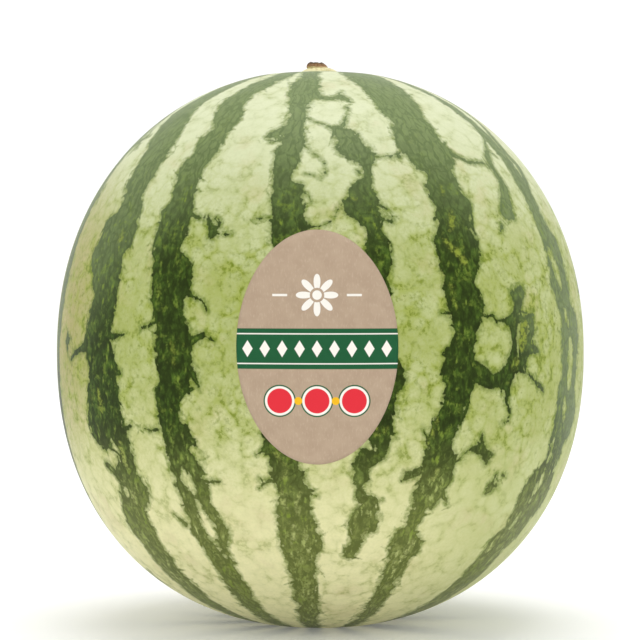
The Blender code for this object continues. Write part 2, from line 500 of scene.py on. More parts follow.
# Light lenses inside the stripes, as strokes of the same kind.
LIGHT_LENSES = (
    ((190, 462, 8), (195, 469, 12), (199, 477, 10)),
    ((178, 481, 6), (182, 490, 11), (187, 500, 12), (191, 509, 7)),
    ((194, 517, 7), (199, 528, 13), (204, 540, 16), (209, 550, 14), (213, 558, 6)),
    ((369, 458, 7), (373, 460, 9)),
    ((555, 250, 2), (558, 262, 7), (563, 276, 8), (567, 290, 7), (569, 300, 3)),
    ((572, 318, 2), (574, 327, 5), (576, 334, 2)),
    ((577, 344, 3), (578, 356, 8), (578, 372, 9), (577, 390, 8), (575, 402, 3)),
    ((572, 410, 3), (572, 420, 6), (570, 432, 4)),
    ((561, 452, 2), (558, 463, 5), (554, 474, 3)),
    ((552, 482, 4), (546, 497, 8), (537, 512, 4)),
    ((118, 500, 3), (121, 508, 6)),
    ((529, 522, 3), (520, 536, 6), (509, 550, 3)),
    ((104, 452, 2), (109, 463, 4), (113, 474, 2)),
    ((186, 512, 2), (189, 520, 4), (193, 528, 2)),
    ((213, 560, 2), (219, 568, 4), (223, 576, 2)),
)

# Mottled yellow-green patches in the dark, as strokes of the same kind.
MOTTLES = (
    ((529, 333, 9), (528, 345, 10), (526, 356, 8)),
    ((521, 371, 7), (518, 378, 5)),
    ((167, 350, 3), (168, 362, 5), (169, 374, 4)),
    ((455, 216, 6), (456, 226, 9), (455, 236, 6)),
    ((444, 188, 3), (446, 197, 6)),
    ((449, 247, 7), (461, 258, 9), (470, 270, 6)),
    ((412, 145, 7), (421, 135, 8)),
    ((454, 290, 4), (458, 302, 6), (460, 315, 4)),
    ((333, 100, 5), (347, 101, 6)),
    ((271, 139, 5), (281, 137, 6)),
    ((352, 198, 5), (355, 203, 5)),
    ((116, 236, 4), (113, 246, 6)),
    ((90, 400, 3), (92, 412, 6), (94, 424, 3)),
    ((387, 440, 5), (380, 446, 7)),
    ((430, 455, 4), (438, 440, 6), (443, 425, 4)),
    ((226, 120, 8), (217, 138, 9)),
    ((273, 462, 5), (277, 470, 7)),
    ((284, 478, 5), (284, 487, 6), (280, 494, 4)),
    ((283, 506, 6), (281, 514, 8), (285, 522, 5)),
    ((300, 506, 5), (296, 517, 6), (298, 527, 5)),
    ((290, 536, 5), (294, 547, 8), (290, 557, 5)),
    ((305, 545, 4), (306, 556, 6)),
    ((440, 484, 7), (436, 493, 7)),
    ((376, 437, 7), (371, 442, 8)),
    ((368, 545, 5), (364, 553, 6)),
    ((416, 556, 6), (408, 566, 7)),
    ((112, 455, 5), (116, 468, 6), (120, 480, 5)),
    ((126, 506, 6), (128, 515, 5)),
)


@dataclass
class StripeChart:
    """The dark stripes as strokes of varying width laid on the rind.

    The front's strokes are read from the photograph. The back's follow a seeded rule, with
    the same spacing, widths and side branches. Angles are in radians, except the azimuths
    of the unseen stripes, which are in degrees.
    """

    form: FruitForm
    view: Viewpoint
    seed: int = 7
    horizon: float = 12 * MM
    least_facing: float = 0.45
    first_polar: float = math.radians(5)
    last_polar: float = math.radians(173)
    points_above: int = 5
    points_below: int = 7
    taper: float = 0.6
    hidden_azimuths: tuple[float, ...] = (97, 123, 149, 175, 200, 226, 252, 279.5)
    hidden_points: int = 48
    half_width: float = 6.5 * MM
    swing_sizes: tuple[float, ...] = (0.22, 0.18, 0.14, 0.08)
    swing_paces: tuple[float, ...] = (3.7, 9.0, 17.0, 31.0)
    phases: tuple[float, float] = (0, 6.3)
    sway: float = math.radians(3.0)
    sway_pace: float = 2.1
    least_girth: float = 0.1
    twig_steps: int = 4
    twig_bend: float = 0.45
    twig_tip: float = 0.25
    twig_least_girth: float = 0.3
    fork_length: float = 9 * MM
    fork_turns: tuple[float, float] = (0.5, 1.2)
    fork_width: float = 0.7
    hidden_twigs: int = 9
    twig_margin: int = 6
    twig_slants: tuple[float, float] = (-0.9, 0.9)
    twig_lengths_mm: tuple[float, float] = (3, 15)
    twig_half_widths_mm: tuple[float, float] = (0.8, 2.4)
    hidden_spots: int = 2
    spot_margin: int = 10
    spot_asides: tuple[float, float] = (0.17, 0.23)
    spot_arms: int = 3
    spot_lengths_mm: tuple[float, float] = (3, 7)
    spot_half_widths_mm: tuple[float, float] = (1.0, 2.2)
    starts: list[np.ndarray] = field(default_factory=list)
    ends: list[np.ndarray] = field(default_factory=list)
    reaches: list[np.ndarray] = field(default_factory=list)

    def rind_at(self, azimuth: np.ndarray, polar: np.ndarray) -> np.ndarray:
        """Find points of the rind.

        Args:
            azimuth: angles round the axis, 0 at the front.
            polar: angles down from the stem.

        Returns:
            Rows of x, y and z.
        """
        rise = np.cos(polar)
        reach = np.where(rise > 0, self.form.crown_rise, self.form.base_drop)
        height = np.clip(self.form.equator + reach * rise, 0, None)
        return self.form.points(azimuth, height)

    def polar_of(self, points: np.ndarray) -> np.ndarray:
        """Turn points of the rind back into angles down from the stem.

        Args:
            points: rows of x, y and z.

        Returns:
            The polar angles that rind_at needs for the same points.
        """
        dip = self.form.dip(np.hypot(points[:, 0], points[:, 1]))
        offset = points[:, 2] + dip * (points[:, 2] > self.form.equator) - self.form.equator
        reach = np.where(offset > 0, self.form.crown_rise, self.form.base_drop)
        return np.arccos(np.clip(offset / reach, -1, 1))

    def lay(self, points: np.ndarray, half_widths: np.ndarray) -> None:
        """Add a stroke.

        Args:
            points: points of the rind along its middle line.
            half_widths: half its width at each of them.
        """
        self.starts.append(points[:-1])
        self.ends.append(points[1:])
        self.reaches.append(np.stack([half_widths[:-1], half_widths[1:]], 1))

    def lay_stripe(self, rows: tuple, full: bool) -> None:
        """Add one of the front's stripes.

        Args:
            rows: the rows of y, left x and right x.
            full: whether it is carried on to the stem and the blossom end.
        """
        table = np.array(rows, float)
        left = self.view.rind_points(table[:, [1, 0]])
        right = self.view.rind_points(table[:, [2, 0]])
        half = np.linalg.norm(right - left, axis=1) / 2
        middle = (left + right) / 2
        azimuth = np.unwrap(np.arctan2(middle[:, 0], -middle[:, 1]))
        polar = self.polar_of(middle)
        if not full:
            self.lay(self.rind_at(azimuth, polar), half)
            return
        above = np.linspace(self.first_polar, polar[0], self.points_above)[:-1]
        below = np.linspace(polar[-1], self.last_polar, self.points_below)[1:]
        top = half[0] * (np.sin(above) / np.sin(polar[0])) ** self.taper
        bottom = half[-1] * (np.sin(below) / np.sin(polar[-1])) ** self.taper
        polars = np.concatenate([above, polar, below])
        azimuths = np.concatenate([0 * above + azimuth[0], azimuth, 0 * below + azimuth[-1]])
        self.lay(self.rind_at(azimuths, polars), np.concatenate([top, half, bottom]))

    def lay_strokes(self, strokes: tuple) -> None:
        """Add the front's branches, spots, lenses or patches, wider where the rind turns away.

        Args:
            strokes: the strokes, each with rows of x, y and width.
        """
        depth = self.view.distance - self.form.radius
        scale = depth / self.view.focal_px
        for stroke in strokes:
            table = np.array(stroke, float)
            aside = (table[:, 0] - self.view.middle_x) / self.view.half_width
            facing = np.sqrt(np.maximum(1 - aside ** 2, self.least_facing ** 2))
            self.lay(self.view.rind_points(table[:, :2]), table[:, 2] * scale / 2 / facing)

    def edge(self, draw: np.random.Generator, polar: np.ndarray) -> np.ndarray:
        """Let one edge of an unseen stripe swing in and out.

        Args:
            draw: the seeded source of its phases.
            polar: angles down from the stem.

        Returns:
            The edge's reach at each angle, as a share of the half width.
        """
        starts = draw.uniform(*self.phases, len(self.swing_paces))
        swings = zip(self.swing_sizes, self.swing_paces, starts)
        return 1 + sum(size * np.sin(pace * polar + start) for size, pace, start in swings)

    def hidden_line(self, azimuth: float) -> tuple[np.ndarray, np.ndarray, np.ndarray]:
        """Run a stripe of the unseen side down the rind.

        Args:
            azimuth: its place round the fruit, in degrees.

        Returns:
            Azimuths, polar angles and half widths along it.
        """
        draw = np.random.default_rng((self.seed, int(azimuth)))
        polar = np.linspace(self.first_polar, self.last_polar, self.hidden_points)
        full = self.half_width * np.sin(polar) ** self.taper
        left, right = full * self.edge(draw, polar), full * self.edge(draw, polar)
        phase = draw.uniform(*self.phases)
        sway = self.sway * np.sin(self.sway_pace * polar + phase) * np.sin(polar)
        girth = self.form.radius * np.maximum(np.sin(polar), self.least_girth)
        shift = (right - left) / 2 / girth
        return math.radians(azimuth) + sway + shift, polar, (left + right) / 2

    def lay_twig(
        self,
        draw: np.random.Generator,
        azimuth: float,
        polar: float,
        heading: float,
        length: float,
        half_width: float,
    ) -> None:
        """Grow a tapering twig of green over the rind, forked where it is long enough.

        Args:
            draw: the seeded source of its bends.
            azimuth: where it starts, round the axis.
            polar: where it starts, down from the stem.
            heading: its way, 0 round the fruit and a quarter turn towards the blossom end.
            length: its length in metres.
            half_width: half its width where it starts.
        """
        steps = self.twig_steps
        headings = heading + np.cumsum(draw.normal(0, self.twig_bend, steps))
        stride = length / steps / self.form.radius
        girth = max(math.sin(polar), self.twig_least_girth)
        turns = np.concatenate([[0], np.cumsum(np.cos(headings))]) / girth
        azimuths = azimuth + stride * turns
        polars = polar + stride * np.concatenate([[0], np.cumsum(np.sin(headings))])
        halves = half_width * np.linspace(1, self.twig_tip, steps + 1)
        self.lay(self.rind_at(azimuths, polars), halves)
        if length > self.fork_length:
            for side in (-1, 1):
                at = int(draw.integers(steps // 2, steps))
                way = headings[at] + side * draw.uniform(*self.fork_turns)
                half = halves[at] * self.fork_width
                self.lay_twig(draw, azimuths[at], polars[at], way, length / 2, half)

    def lay_hidden_twigs(self, azimuth: float) -> None:
        """Add the side branches of a stripe of the unseen side, and a spot or two beside it.

        Args:
            azimuth: the stripe's place round the fruit, in degrees.
        """
        draw = np.random.default_rng((self.seed, int(azimuth), 1))
        line, polar, half = self.hidden_line(azimuth)
        for _ in range(self.hidden_twigs):
            at = int(draw.integers(self.twig_margin, self.hidden_points - self.twig_margin))
            heading = draw.choice((0, math.pi)) + draw.uniform(*self.twig_slants)
            length = half[at] + draw.uniform(*self.twig_lengths_mm) * MM
            width = draw.uniform(*self.twig_half_widths_mm) * MM
            self.lay_twig(draw, line[at], polar[at], heading, length, width)
        for _ in range(self.hidden_spots):
            aside = draw.choice((-1, 1)) * draw.uniform(*self.spot_asides)
            at = int(draw.integers(self.spot_margin, self.hidden_points - self.spot_margin))
            for heading in draw.uniform(0, 2 * math.pi, self.spot_arms):
                width = draw.uniform(*self.spot_half_widths_mm) * MM
                length = draw.uniform(*self.spot_lengths_mm) * MM
                self.lay_twig(draw, line[at] + aside, polar[at], heading, length, width)

    def nearest(self, points: np.ndarray) -> tuple[np.ndarray, np.ndarray, np.ndarray]:
        """Find the nearest laid stroke for each point, up to the horizon, and lift them all.

        Args:
            points: rows of x, y and z.

        Returns:
            The distance to the stroke, negative inside it, the way to the point from the
            stroke's middle line, and half the stroke's width there, all in metres.
        """
        gaps = np.full(len(points), self.horizon)
        ways = np.full((len(points), 3), self.horizon)
        halves = np.zeros(len(points))
        start, end = np.concatenate(self.starts), np.concatenate(self.ends)
        for a, b, (ra, rb) in zip(start, end, np.concatenate(self.reaches)):
            span = b - a
            box = np.abs(span) / 2 + max(ra, rb) + self.horizon
            near = np.flatnonzero((np.abs(points - (a + b) / 2) < box).all(axis=1))
            arms = points[near] - a
            share = np.clip(arms @ span / max(span @ span, 1e-12), 0, 1)
            arms -= share[:, None] * span
            half = ra + share * (rb - ra)
            gap = np.linalg.norm(arms, axis=1) - half
            closer = gap < gaps[near]
            kept = near[closer]
            gaps[kept], ways[kept], halves[kept] = gap[closer], arms[closer], half[closer]
        self.starts, self.ends, self.reaches = [], [], []
        return gaps, ways, halves

    def markings(self, points: np.ndarray) -> dict[str, np.ndarray]:
        """Measure where points of the rind lie on the chart.

        Args:
            points: rows of x, y and z.

        Returns:
            Arrays in mm by the attribute's name: distances to the stripes, the branches and
            the mottled patches, negative in them, and for the branches also the way from
            the middle line, which stays exact between the mesh's points, and half the width.
        """
        self.lay_strokes(LIGHT_LENSES)
        lenses = self.nearest(points)[0]
        self.lay_strokes(MOTTLES)
        mottles = self.nearest(points)[0]
        for rows in FULL_STRIPES:
            self.lay_stripe(rows, full=True)
        self.lay_stripe(MIDDLE_RIGHT_STRIPE, full=False)
        for azimuth in self.hidden_azimuths:
            line, polar, half = self.hidden_line(azimuth)
            self.lay(self.rind_at(line, polar), half)
        stripes = np.maximum(self.nearest(points)[0], -lenses)
        self.lay_strokes(FRONT_STROKES)
        for azimuth in self.hidden_azimuths:
            self.lay_hidden_twigs(azimuth)
        branches, ways, halves = self.nearest(points)
        measures = {
            "stripe_mm": stripes,
            "mottle_mm": mottles,
            "branch_mm": branches,
            "branch_half_mm": halves,
            "branch_way_mm": ways,
        }
        return {name: values / MM for name, values in measures.items()}


class Slot(Enum):
    """The names of the material slots."""

    RIND = "rind"
    STEM = "dried_stem"
    PAPER = "label_paper"


class Recipe:
    """A geometry tree with named inputs, run once into a plain mesh."""

    def __init__(self, name: str, sizes: dict[str, float]) -> None:
        """Start the tree.

        Args:
            name: name of the tree and of the piece that it makes.
            sizes: value of each named input.
        """
        self.name = name
        self.sizes = sizes
        self.tree = bpy.data.node_groups.new(name, "GeometryNodeTree")
        self.tree.interface.new_socket(
            "Geometry", in_out="OUTPUT", socket_type="NodeSocketGeometry"
        )
        self.identifiers = {
            size: self.tree.interface.new_socket(
                size, in_out="INPUT", socket_type="NodeSocketFloat"
            ).identifier
            for size in sizes
        }
        self.inputs = add_node(self.tree, "NodeGroupInput", {}, {})

    def size(self, name: str) -> Field:
        """One of the named inputs."""
        return Field(self.tree, self.inputs.outputs[name])

    def make(self, geometry: bpy.types.NodeSocket, finish: bpy.types.Material) -> bpy.types.Object:
        """End the tree, run it and keep its result.

        Args:
            geometry: the socket that holds the finished shape.
            finish: the material that the shape gets.

        Returns:
            An object with a plain mesh and no modifier.
        """
        real = add_node(self.tree, "GeometryNodeRealizeInstances", {}, {0: geometry})
        inputs = {"Geometry": real.outputs[0], "Material": finish}
        dressed = add_node(self.tree, "GeometryNodeSetMaterial", {}, inputs)
        add_node(self.tree, "NodeGroupOutput", {}, {0: dressed.outputs[0]})
        piece = bpy.data.objects.new(self.name, bpy.data.meshes.new(self.name))
        bpy.context.scene.collection.objects.link(piece)
        modifier = piece.modifiers.new("recipe", "NODES")
        modifier.node_group = self.tree
        for size, identifier in self.identifiers.items():
            modifier[identifier] = float(self.sizes[size])
        evaluated = piece.evaluated_get(bpy.context.evaluated_depsgraph_get())
        mesh = bpy.data.meshes.new_from_object(evaluated)
        piece.modifiers.remove(modifier)
        piece.data = mesh
        mesh.name = self.name
        mesh.shade_smooth()
        return piece


def dress(piece: bpy.types.Object, node: str) -> None:
    """Tie a finished piece to the body and hide the CAD node that it stands for.

    Args:
        piece: the piece.
        node: the name of the CAD node.
    """
    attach(piece, "root")
    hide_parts(node)
    log.info("%s: %d faces for node %s", piece.name, len(piece.data.polygons), node)


@dataclass(frozen=True)
class WaxyRind:
    """Ripe melon rind as it grew, under its own wax.

    The wax gives a broad soft sheen. Under it the pale ground is packed with rounded cells
    that bite into the dark stripes, and thin green threads run between them.

    A rag is how far noise frays an edge. A pair of lengths is where a change starts and
    where it is full: heights above the fruit's middle for the crown and the base, distances
    to the right of it for a side, and a sum of both for the shoulders.

    Some of the colour is painted light. The paler crown and the paler stripes there are
    partly painted sheen, the paler stripes on the shoulders and the right side are painted
    sheen, the paler base is partly painted light bounced off the floor, and the tan patch on
    the left side is partly painted shade.
    """

    ground: str = "#A9B26A"
    ground_pale: str = "#BBC38A"
    # Paler crown ground: partly the rind's own colour, partly painted sheen.
    crown_ground_and_sheen: str = "#D8DDB9"
    # Paler base ground: partly the rind's own colour, partly painted light bounced off the floor.
    base_ground_and_bounce: str = "#E9E5B4"
    blush: str = "#C9BC90"
    # Tan patch on the left side: partly a tan tint, partly painted shade.
    left_tan_and_shade: str = "#A99C64"
    cell_wall: str = "#96A33E"
    green: str = "#6E7F22"
    fringe: str = "#667A2A"
    stripe: str = "#26320C"
    stripe_light: str = "#465F1E"
    # Paler grey-green stripe colours: partly their own colour at the crown, painted sheen on the
    # shoulders and the right side.
    crown_vein_and_sheen: str = "#647548"
    crown_stripe_and_sheen: str = "#80905E"
    base_vein: str = "#535C2B"
    base_stripe: str = "#808A4A"
    speck: str = "#7A8E34"
    speck_pale: str = "#B7BE7C"
    cork: str = "#A8885A"
    collar: str = "#E4DCA8"
    sway_mm: float = 8.0
    sway_length_mm: float = 15.0
    comb_share: float = 0.5
    cloud_roughness: float = 0.6
    stripe_rag_mm: float = 2.6
    stripe_jag_mm: float = 1.8
    twig_rag_mm: float = 2.8
    spur_rag_mm: float = 2.4
    spur_reach_mm: float = 3.0
    thread_rag_mm: float = 3.2
    thread_reach_mm: tuple[float, float] = (1.5, 7.0)
    line_rag_mm: float = 2.2
    mottle_rag_mm: float = 3.0
    patch_rag_mm: float = 4.0
    fade_mm: float = 0.35
    fringe_mm: float = 1.4
    rim_mm: float = 2.4
    pale_crown_mm: tuple[float, float] = (20, 112)
    pale_base_mm: tuple[float, float] = (10, -85)
    # Where the painted bounce light at the base fades out towards the right.
    base_bounce_side_mm: tuple[float, float] = (10, 90)
    calm_crown_mm: tuple[float, float] = (30, 95)
    calm_base_mm: tuple[float, float] = (-15, -60)
    # Stripes paler at the crown, partly their own colour and partly painted sheen.
    stripe_crown_and_sheen_mm: tuple[float, float] = (35, 115)
    faded_base_mm: tuple[float, float] = (-20, -75)
    # Where painted sheen makes the stripes paler on the shoulders and on the right side.
    sheen_shoulders_mm: tuple[float, float] = (95, 130)
    sheen_side_mm: tuple[float, float] = (78, 104)
    # Where the tan patch with painted shade sits on the left side, and how far it reaches.
    left_tan_and_shade_place_mm: tuple[float, float, float] = (-112.0, -10.0, 18.0)
    left_tan_and_shade_reach_mm: tuple[float, float] = (30, 85)
    collar_mm: float = 8.8
    collar_blur_mm: float = 1.5
    scar_mm: float = 5.0
    scar_blur_mm: float = 0.8
    relief_mm: float = 0.5
    roughness: tuple[float, float] = (0.36, 0.48)

    @property
    def clouds(self) -> dict[str, tuple[str, float, float]]:
        """The noises: what each is laid on, the size of its features in mm, and its detail."""
        return {
            "billow": ("plain", 26.0, 6.0),
            "tint": ("plain", 21.0, 3.0),
            "patch": ("plain", 13.0, 3.0),
            "reach": ("plain", 18.0, 1.0),
            "swell": ("plain", 11.0, 2.0),
            "mottle": ("plain", 1.9, 4.0),
            "ragged": ("plain", 1.8, 4.0),
            "grain": ("plain", 1.1, 2.0),
            "jag": ("combed", 2.0, 4.0),
            "streak": ("combed", 2.1, 5.0),
            "blotch": ("swayed", 6.0, 4.0),
        }

    @property
    def cells(self) -> dict[str, tuple[str, float, str]]:
        """The cells: what each kind is laid on, its size in mm, and what is measured in it."""
        return {
            "bulge": ("swayed", 9.5, "F1"),
            "wall": ("swayed", 9.5, "DISTANCE_TO_EDGE"),
            "net": ("swayed", 6.5, "DISTANCE_TO_EDGE"),
            "knob": ("swayed", 5.0, "F1"),
            "mosaic": ("swayed", 5.4, "F1"),
            "vein": ("bent", 4.6, "DISTANCE_TO_EDGE"),
            "fleck": ("combed", 2.6, "F1"),
        }

    def places(self, tree: bpy.types.NodeTree) -> dict[str, bpy.types.NodeSocket]:
        """Lay out the places that the textures read.

        Args:
            tree: the material's tree.

        Returns:
            Places in mm by name: plain, swayed by a slow noise, combed along the fruit, and
            bent, which is both.
        """
        spot = add_node(tree, "ShaderNodeTexCoord", {}, {}).outputs["Object"]
        inputs = {0: spot, "Scale": 1 / MM}
        plain = add_node(tree, "ShaderNodeVectorMath", {"operation": "SCALE"}, inputs).outputs[0]
        inputs = {"Vector": plain, "Scale": 1 / self.sway_length_mm, "Detail": 3.0}
        drift = add_node(tree, "ShaderNodeTexNoise", {}, inputs).outputs["Color"]
        grain = add_node(tree, "ShaderNodeAttribute", {"attribute_name": "grain"}, {})
        inputs = {"Vector": grain.outputs["Vector"], "Scale": (1.0, 1.0, self.comb_share)}
        places = {"plain": plain}
        places["combed"] = add_node(tree, "ShaderNodeMapping", {}, inputs).outputs[0]
        settings = {"operation": "MULTIPLY_ADD"}
        kinds = (("swayed", self.sway_mm, "plain"), ("bent", 2 * self.sway_mm, "combed"))
        for name, sway, base in kinds:
            inputs = {0: drift, 1: (sway, sway, sway), 2: places[base]}
            places[name] = add_node(tree, "ShaderNodeVectorMath", settings, inputs).outputs[0]
        return places

    def maps(self, tree: bpy.types.NodeTree, form: FruitForm) -> dict[str, Field]:
        """Lay every texture on the rind.

        Args:
            tree: the material's tree.
            form: the fruit's form.

        Returns:
            Fields by name: the place on the fruit, the chart of stripes and the cells in mm,
            and the clouds from 0 to 1.
        """
        places = self.places(tree)
        parts = add_node(tree, "ShaderNodeSeparateXYZ", {}, {0: places["plain"]})
        across, back, height = (Field(tree, socket) for socket in parts.outputs)
        maps = {"across": across, "back": back, "rise": height - form.equator / MM}
        maps["radius"] = (across * across + back * back) ** 0.5
        for name, (source, size, detail) in self.clouds.items():
            inputs = {"Vector": places[source], "Scale": 1 / size, "Detail": detail}
            inputs["Roughness"] = self.cloud_roughness
            cloud = add_node(tree, "ShaderNodeTexNoise", {}, inputs)
            maps[name] = Field(tree, cloud.outputs["Fac"])
        for name, (source, size, feature) in self.cells.items():
            inputs = {"Vector": places[source], "Scale": 1 / size}
            cell = add_node(tree, "ShaderNodeTexVoronoi", {"feature": feature}, inputs)
            maps[name] = Field(tree, cell.outputs["Distance"]) * size
        for name in ("stripe_mm", "mottle_mm", "branch_mm", "branch_half_mm"):
            chart = add_node(tree, "ShaderNodeAttribute", {"attribute_name": name}, {})
            maps[name] = Field(tree, chart.outputs["Fac"])
        way = add_node(tree, "ShaderNodeAttribute", {"attribute_name": "branch_way_mm"}, {})
        inputs = {0: way.outputs["Vector"]}
        way = add_node(tree, "ShaderNodeVectorMath", {"operation": "LENGTH"}, inputs)
        line = Field(tree, way.outputs["Value"]) - maps["branch_half_mm"]
        maps["branch"] = line.most(maps["branch_mm"] - 1.0)
        return maps

    def material(self, form: FruitForm) -> bpy.types.Material:
        """Build the material.

        Args:
            form: the form of the fruit that wears it.

        Returns:
            The material.
        """
        made, tree, shader = new_material("waxy watermelon rind")
        maps = self.maps(tree, form)
        depth, thread = self.dark_depth(maps)
        colour = blend(thread, self.light_ground(maps), self.fringe)
        dark = self.dark_stripe(maps, depth)
        colour = blend(depth.ramp(-self.fade_mm, self.fade_mm, 1.0, 0.0), colour, dark)
        height = maps["swell"] + maps["grain"] * 0.12
        relief = {"Height": height, "Strength": 0.35, "Distance": self.relief_mm * MM}
        looks = {
            "Base Color": self.ends(maps, colour),
            "Roughness": maps["grain"].ramp(0.3, 0.7, *self.roughness),
            "Normal": add_node(tree, "ShaderNodeBump", {}, relief).outputs[0],
            "IOR": 1.42,
            "Specular IOR Level": 0.10,
            "Sheen Weight": 0.04,
            "Sheen Roughness": 0.35,
        }
        feed(tree, shader, looks)
        return made

    def dark_depth(self, maps: dict[str, Field]) -> tuple[Field, Field]:
        """Lay out the dark.

        Args:
            maps: the textures.

        Returns:
            Distance in mm from the dark, negative in it, with the cells biting into its edge,
            and how strong the green is that fringes it and runs out along the cells' walls.
        """
        ragged = maps["ragged"] - 0.5
        bulge = maps["bulge"] * -0.2 + 0.95
        knob = maps["knob"] * -0.44 + 1.1
        jag = (maps["jag"] - 0.5) * self.stripe_jag_mm
        stripe = maps["stripe_mm"] + bulge + knob + ragged * self.stripe_rag_mm + jag
        thin = maps["branch_half_mm"].ramp(0.3, 1.5, 0.5, 0.0)
        twig = maps["branch"] + knob * 0.3 + ragged * self.twig_rag_mm + thin
        gap = maps["stripe_mm"].least(maps["branch"] + 1)
        width = (gap / self.spur_reach_mm).ramp(0.0, 1.0, 0.8, -1.5)
        spur = maps["wall"] - width + ragged * self.spur_rag_mm
        patch = maps["mottle_mm"] + ragged * self.mottle_rag_mm + 0.4
        depth = stripe.least(twig).least(spur).least(patch)
        reach = maps["reach"].ramp(0.4, 0.65, *self.thread_reach_mm)
        width = (gap / reach).ramp(0.1, 1.0, 0.7, -1.2)
        thread = maps["wall"] - width + ragged * self.thread_rag_mm
        thread = thread.ramp(-0.6, 0.9, 0.85, 0.0)
        line = (maps["branch"] + ragged * self.line_rag_mm).ramp(-0.5, 0.5, 0.95, 0.0)
        rim = stripe.least(twig).ramp(self.fade_mm, self.rim_mm, 0.75, 0.0)
        fringe = depth.ramp(self.fade_mm, self.fringe_mm, 0.65, 0.0).most(line).most(rim)
        return depth, fringe.most(thread) * maps["mottle"].ramp(0.35, 0.6, 0.55, 1.0)

    def light_ground(self, maps: dict[str, Field]) -> bpy.types.NodeSocket:
        """Colour the ground between the stripes, paler at the crown and the base partly by painted
        sheen and painted bounce light, with painted shade on the left side.

        Args:
            maps: the textures.

        Returns:
            The colour.
        """
        rise, across, back = maps["rise"], maps["across"], maps["back"]
        colour = blend(maps["billow"].ramp(0.3, 0.7), self.ground, self.ground_pale)
        # Paler towards the crown: partly the rind's own colour, partly painted sheen.
        colour = blend(rise.ramp(*self.pale_crown_mm, 0.0, 0.97), colour, self.crown_ground_and_sheen)
        # Paler towards the base and weaker to the right: partly the rind's own colour, partly
        # painted light bounced off the floor.
        pale_base = rise.ramp(*self.pale_base_mm, 0.0, 0.97)
        pale_base = pale_base * across.ramp(*self.base_bounce_side_mm, 1.0, 0.2)
        colour = blend(pale_base, colour, self.base_ground_and_bounce)
        # A tan patch on the left side, partly a tan tint and partly painted shade.
        gaps = zip((across, back, rise), self.left_tan_and_shade_place_mm)
        x, y, z = ((place - middle) ** 2.0 for place, middle in gaps)
        away = (x + y + z) ** 0.5
        colour = blend(away.ramp(*self.left_tan_and_shade_reach_mm, 0.85, 0.0), colour, self.left_tan_and_shade)
        colour = blend(maps["tint"].ramp(0.52, 0.72, 0.0, 0.35), colour, self.blush)
        calm = rise.ramp(*self.calm_crown_mm, 1.0, 0.3) * rise.ramp(*self.calm_base_mm, 1.0, 0.35)
        patch = maps["patch"].ramp(0.38, 0.6, 0.35, 1.0) * calm
        mosaic = maps["mosaic"].ramp(1.8, 4.2, 0.0, 0.75) * patch
        colour = blend(mosaic, colour, self.cell_wall)
        mottle = maps["mottle"].ramp(0.42, 0.6)
        joints = maps["mosaic"].ramp(3.2, 4.1, 0.0, 0.9)
        net = maps["net"].ramp(0.0, 1.2, 0.5, 0.0)
        colour = blend(joints.most(net * calm) * mottle * patch, colour, self.green)
        flecks = maps["mottle"].ramp(0.58, 0.7, 0.0, 0.65) * patch * calm
        colour = blend(flecks, colour, self.green)
        return blend(maps["grain"].ramp(0.35, 0.75, 0.0, 0.3) * calm, colour, self.cell_wall)

    def dark_stripe(self, maps: dict[str, Field], depth: Field) -> bpy.types.NodeSocket:
        """Colour the stripes, mottled along the fruit, with darker veins and edges, paler at the
        crown partly by painted sheen and on the shoulders and the right side by painted sheen.

        Args:
            maps: the textures.
            depth: distance in mm from the dark, negative in it.

        Returns:
            The colour.
        """
        rise, across, mottle = maps["rise"], maps["across"], maps["mottle"]
        streak, ragged = maps["streak"], maps["ragged"] - 0.5
        # Stripes paler grey-green towards the crown: partly their own colour, partly painted sheen.
        crown = rise.ramp(*self.stripe_crown_and_sheen_mm, 0.0, 0.97)
        base = rise.ramp(*self.faded_base_mm, 0.0, 0.95)
        shade = streak * 0.45 + mottle * 0.15 + maps["blotch"] * 0.4
        body = blend(shade.ramp(0.38, 0.62), self.stripe, self.stripe_light)
        body = blend(base, blend(crown, body, self.crown_stripe_and_sheen), self.base_stripe)
        vein = blend(base, blend(crown, self.stripe, self.crown_vein_and_sheen), self.base_vein)
        # Painted sheen: stripes paler grey-green on the shoulders and the right side.
        high = (across.math("ABSOLUTE") + rise * 0.8).ramp(*self.sheen_shoulders_mm, 0.0, 0.5)
        side_sheen = (across + rise * 0.35).ramp(*self.sheen_side_mm, 0.0, 0.75).most(high)
        body, vein = blend(side_sheen, body, self.crown_stripe_and_sheen), blend(side_sheen, vein, self.crown_vein_and_sheen)
        wall = (maps["vein"] + (streak - 0.5) * 3.0).ramp(0.0, 1.0, 0.75, 0.0)
        rim = depth.ramp(-1.5, -0.2, 0.0, 0.6)
        tone = shade.ramp(0.42, 0.58, 0.35, 0.0) * (base + 1)
        colour = blend(wall.most(rim).most(tone), body, vein)
        inner = depth.ramp(-2.0, -0.6, 1.0, 0.0)
        speck = blend(base * maps["tint"].ramp(0.4, 0.6), self.speck, self.speck_pale)
        flecks = (maps["fleck"] - base * 0.5).ramp(0.3, 1.3, 0.9, 0.0)
        flecks = flecks * streak.ramp(0.5, 0.62)
        glow = maps["blotch"].ramp(0.52, 0.68, 0.0, 0.6) * mottle.ramp(0.4, 0.6)
        colour = blend(flecks.most(glow) * inner * crown.ramp(0.1, 0.8, 1.0, 0.15), colour, speck)
        patch = (maps["mottle_mm"] + ragged * self.patch_rag_mm).ramp(-1.6, 0.6, 1.0, 0.0)
        patch = patch * crown.ramp(0.1, 0.8, 1.0, 0.1) * mottle.ramp(0.4, 0.58, 0.1, 0.8)
        return blend(patch, colour, blend(base, self.cell_wall, self.speck_pale))

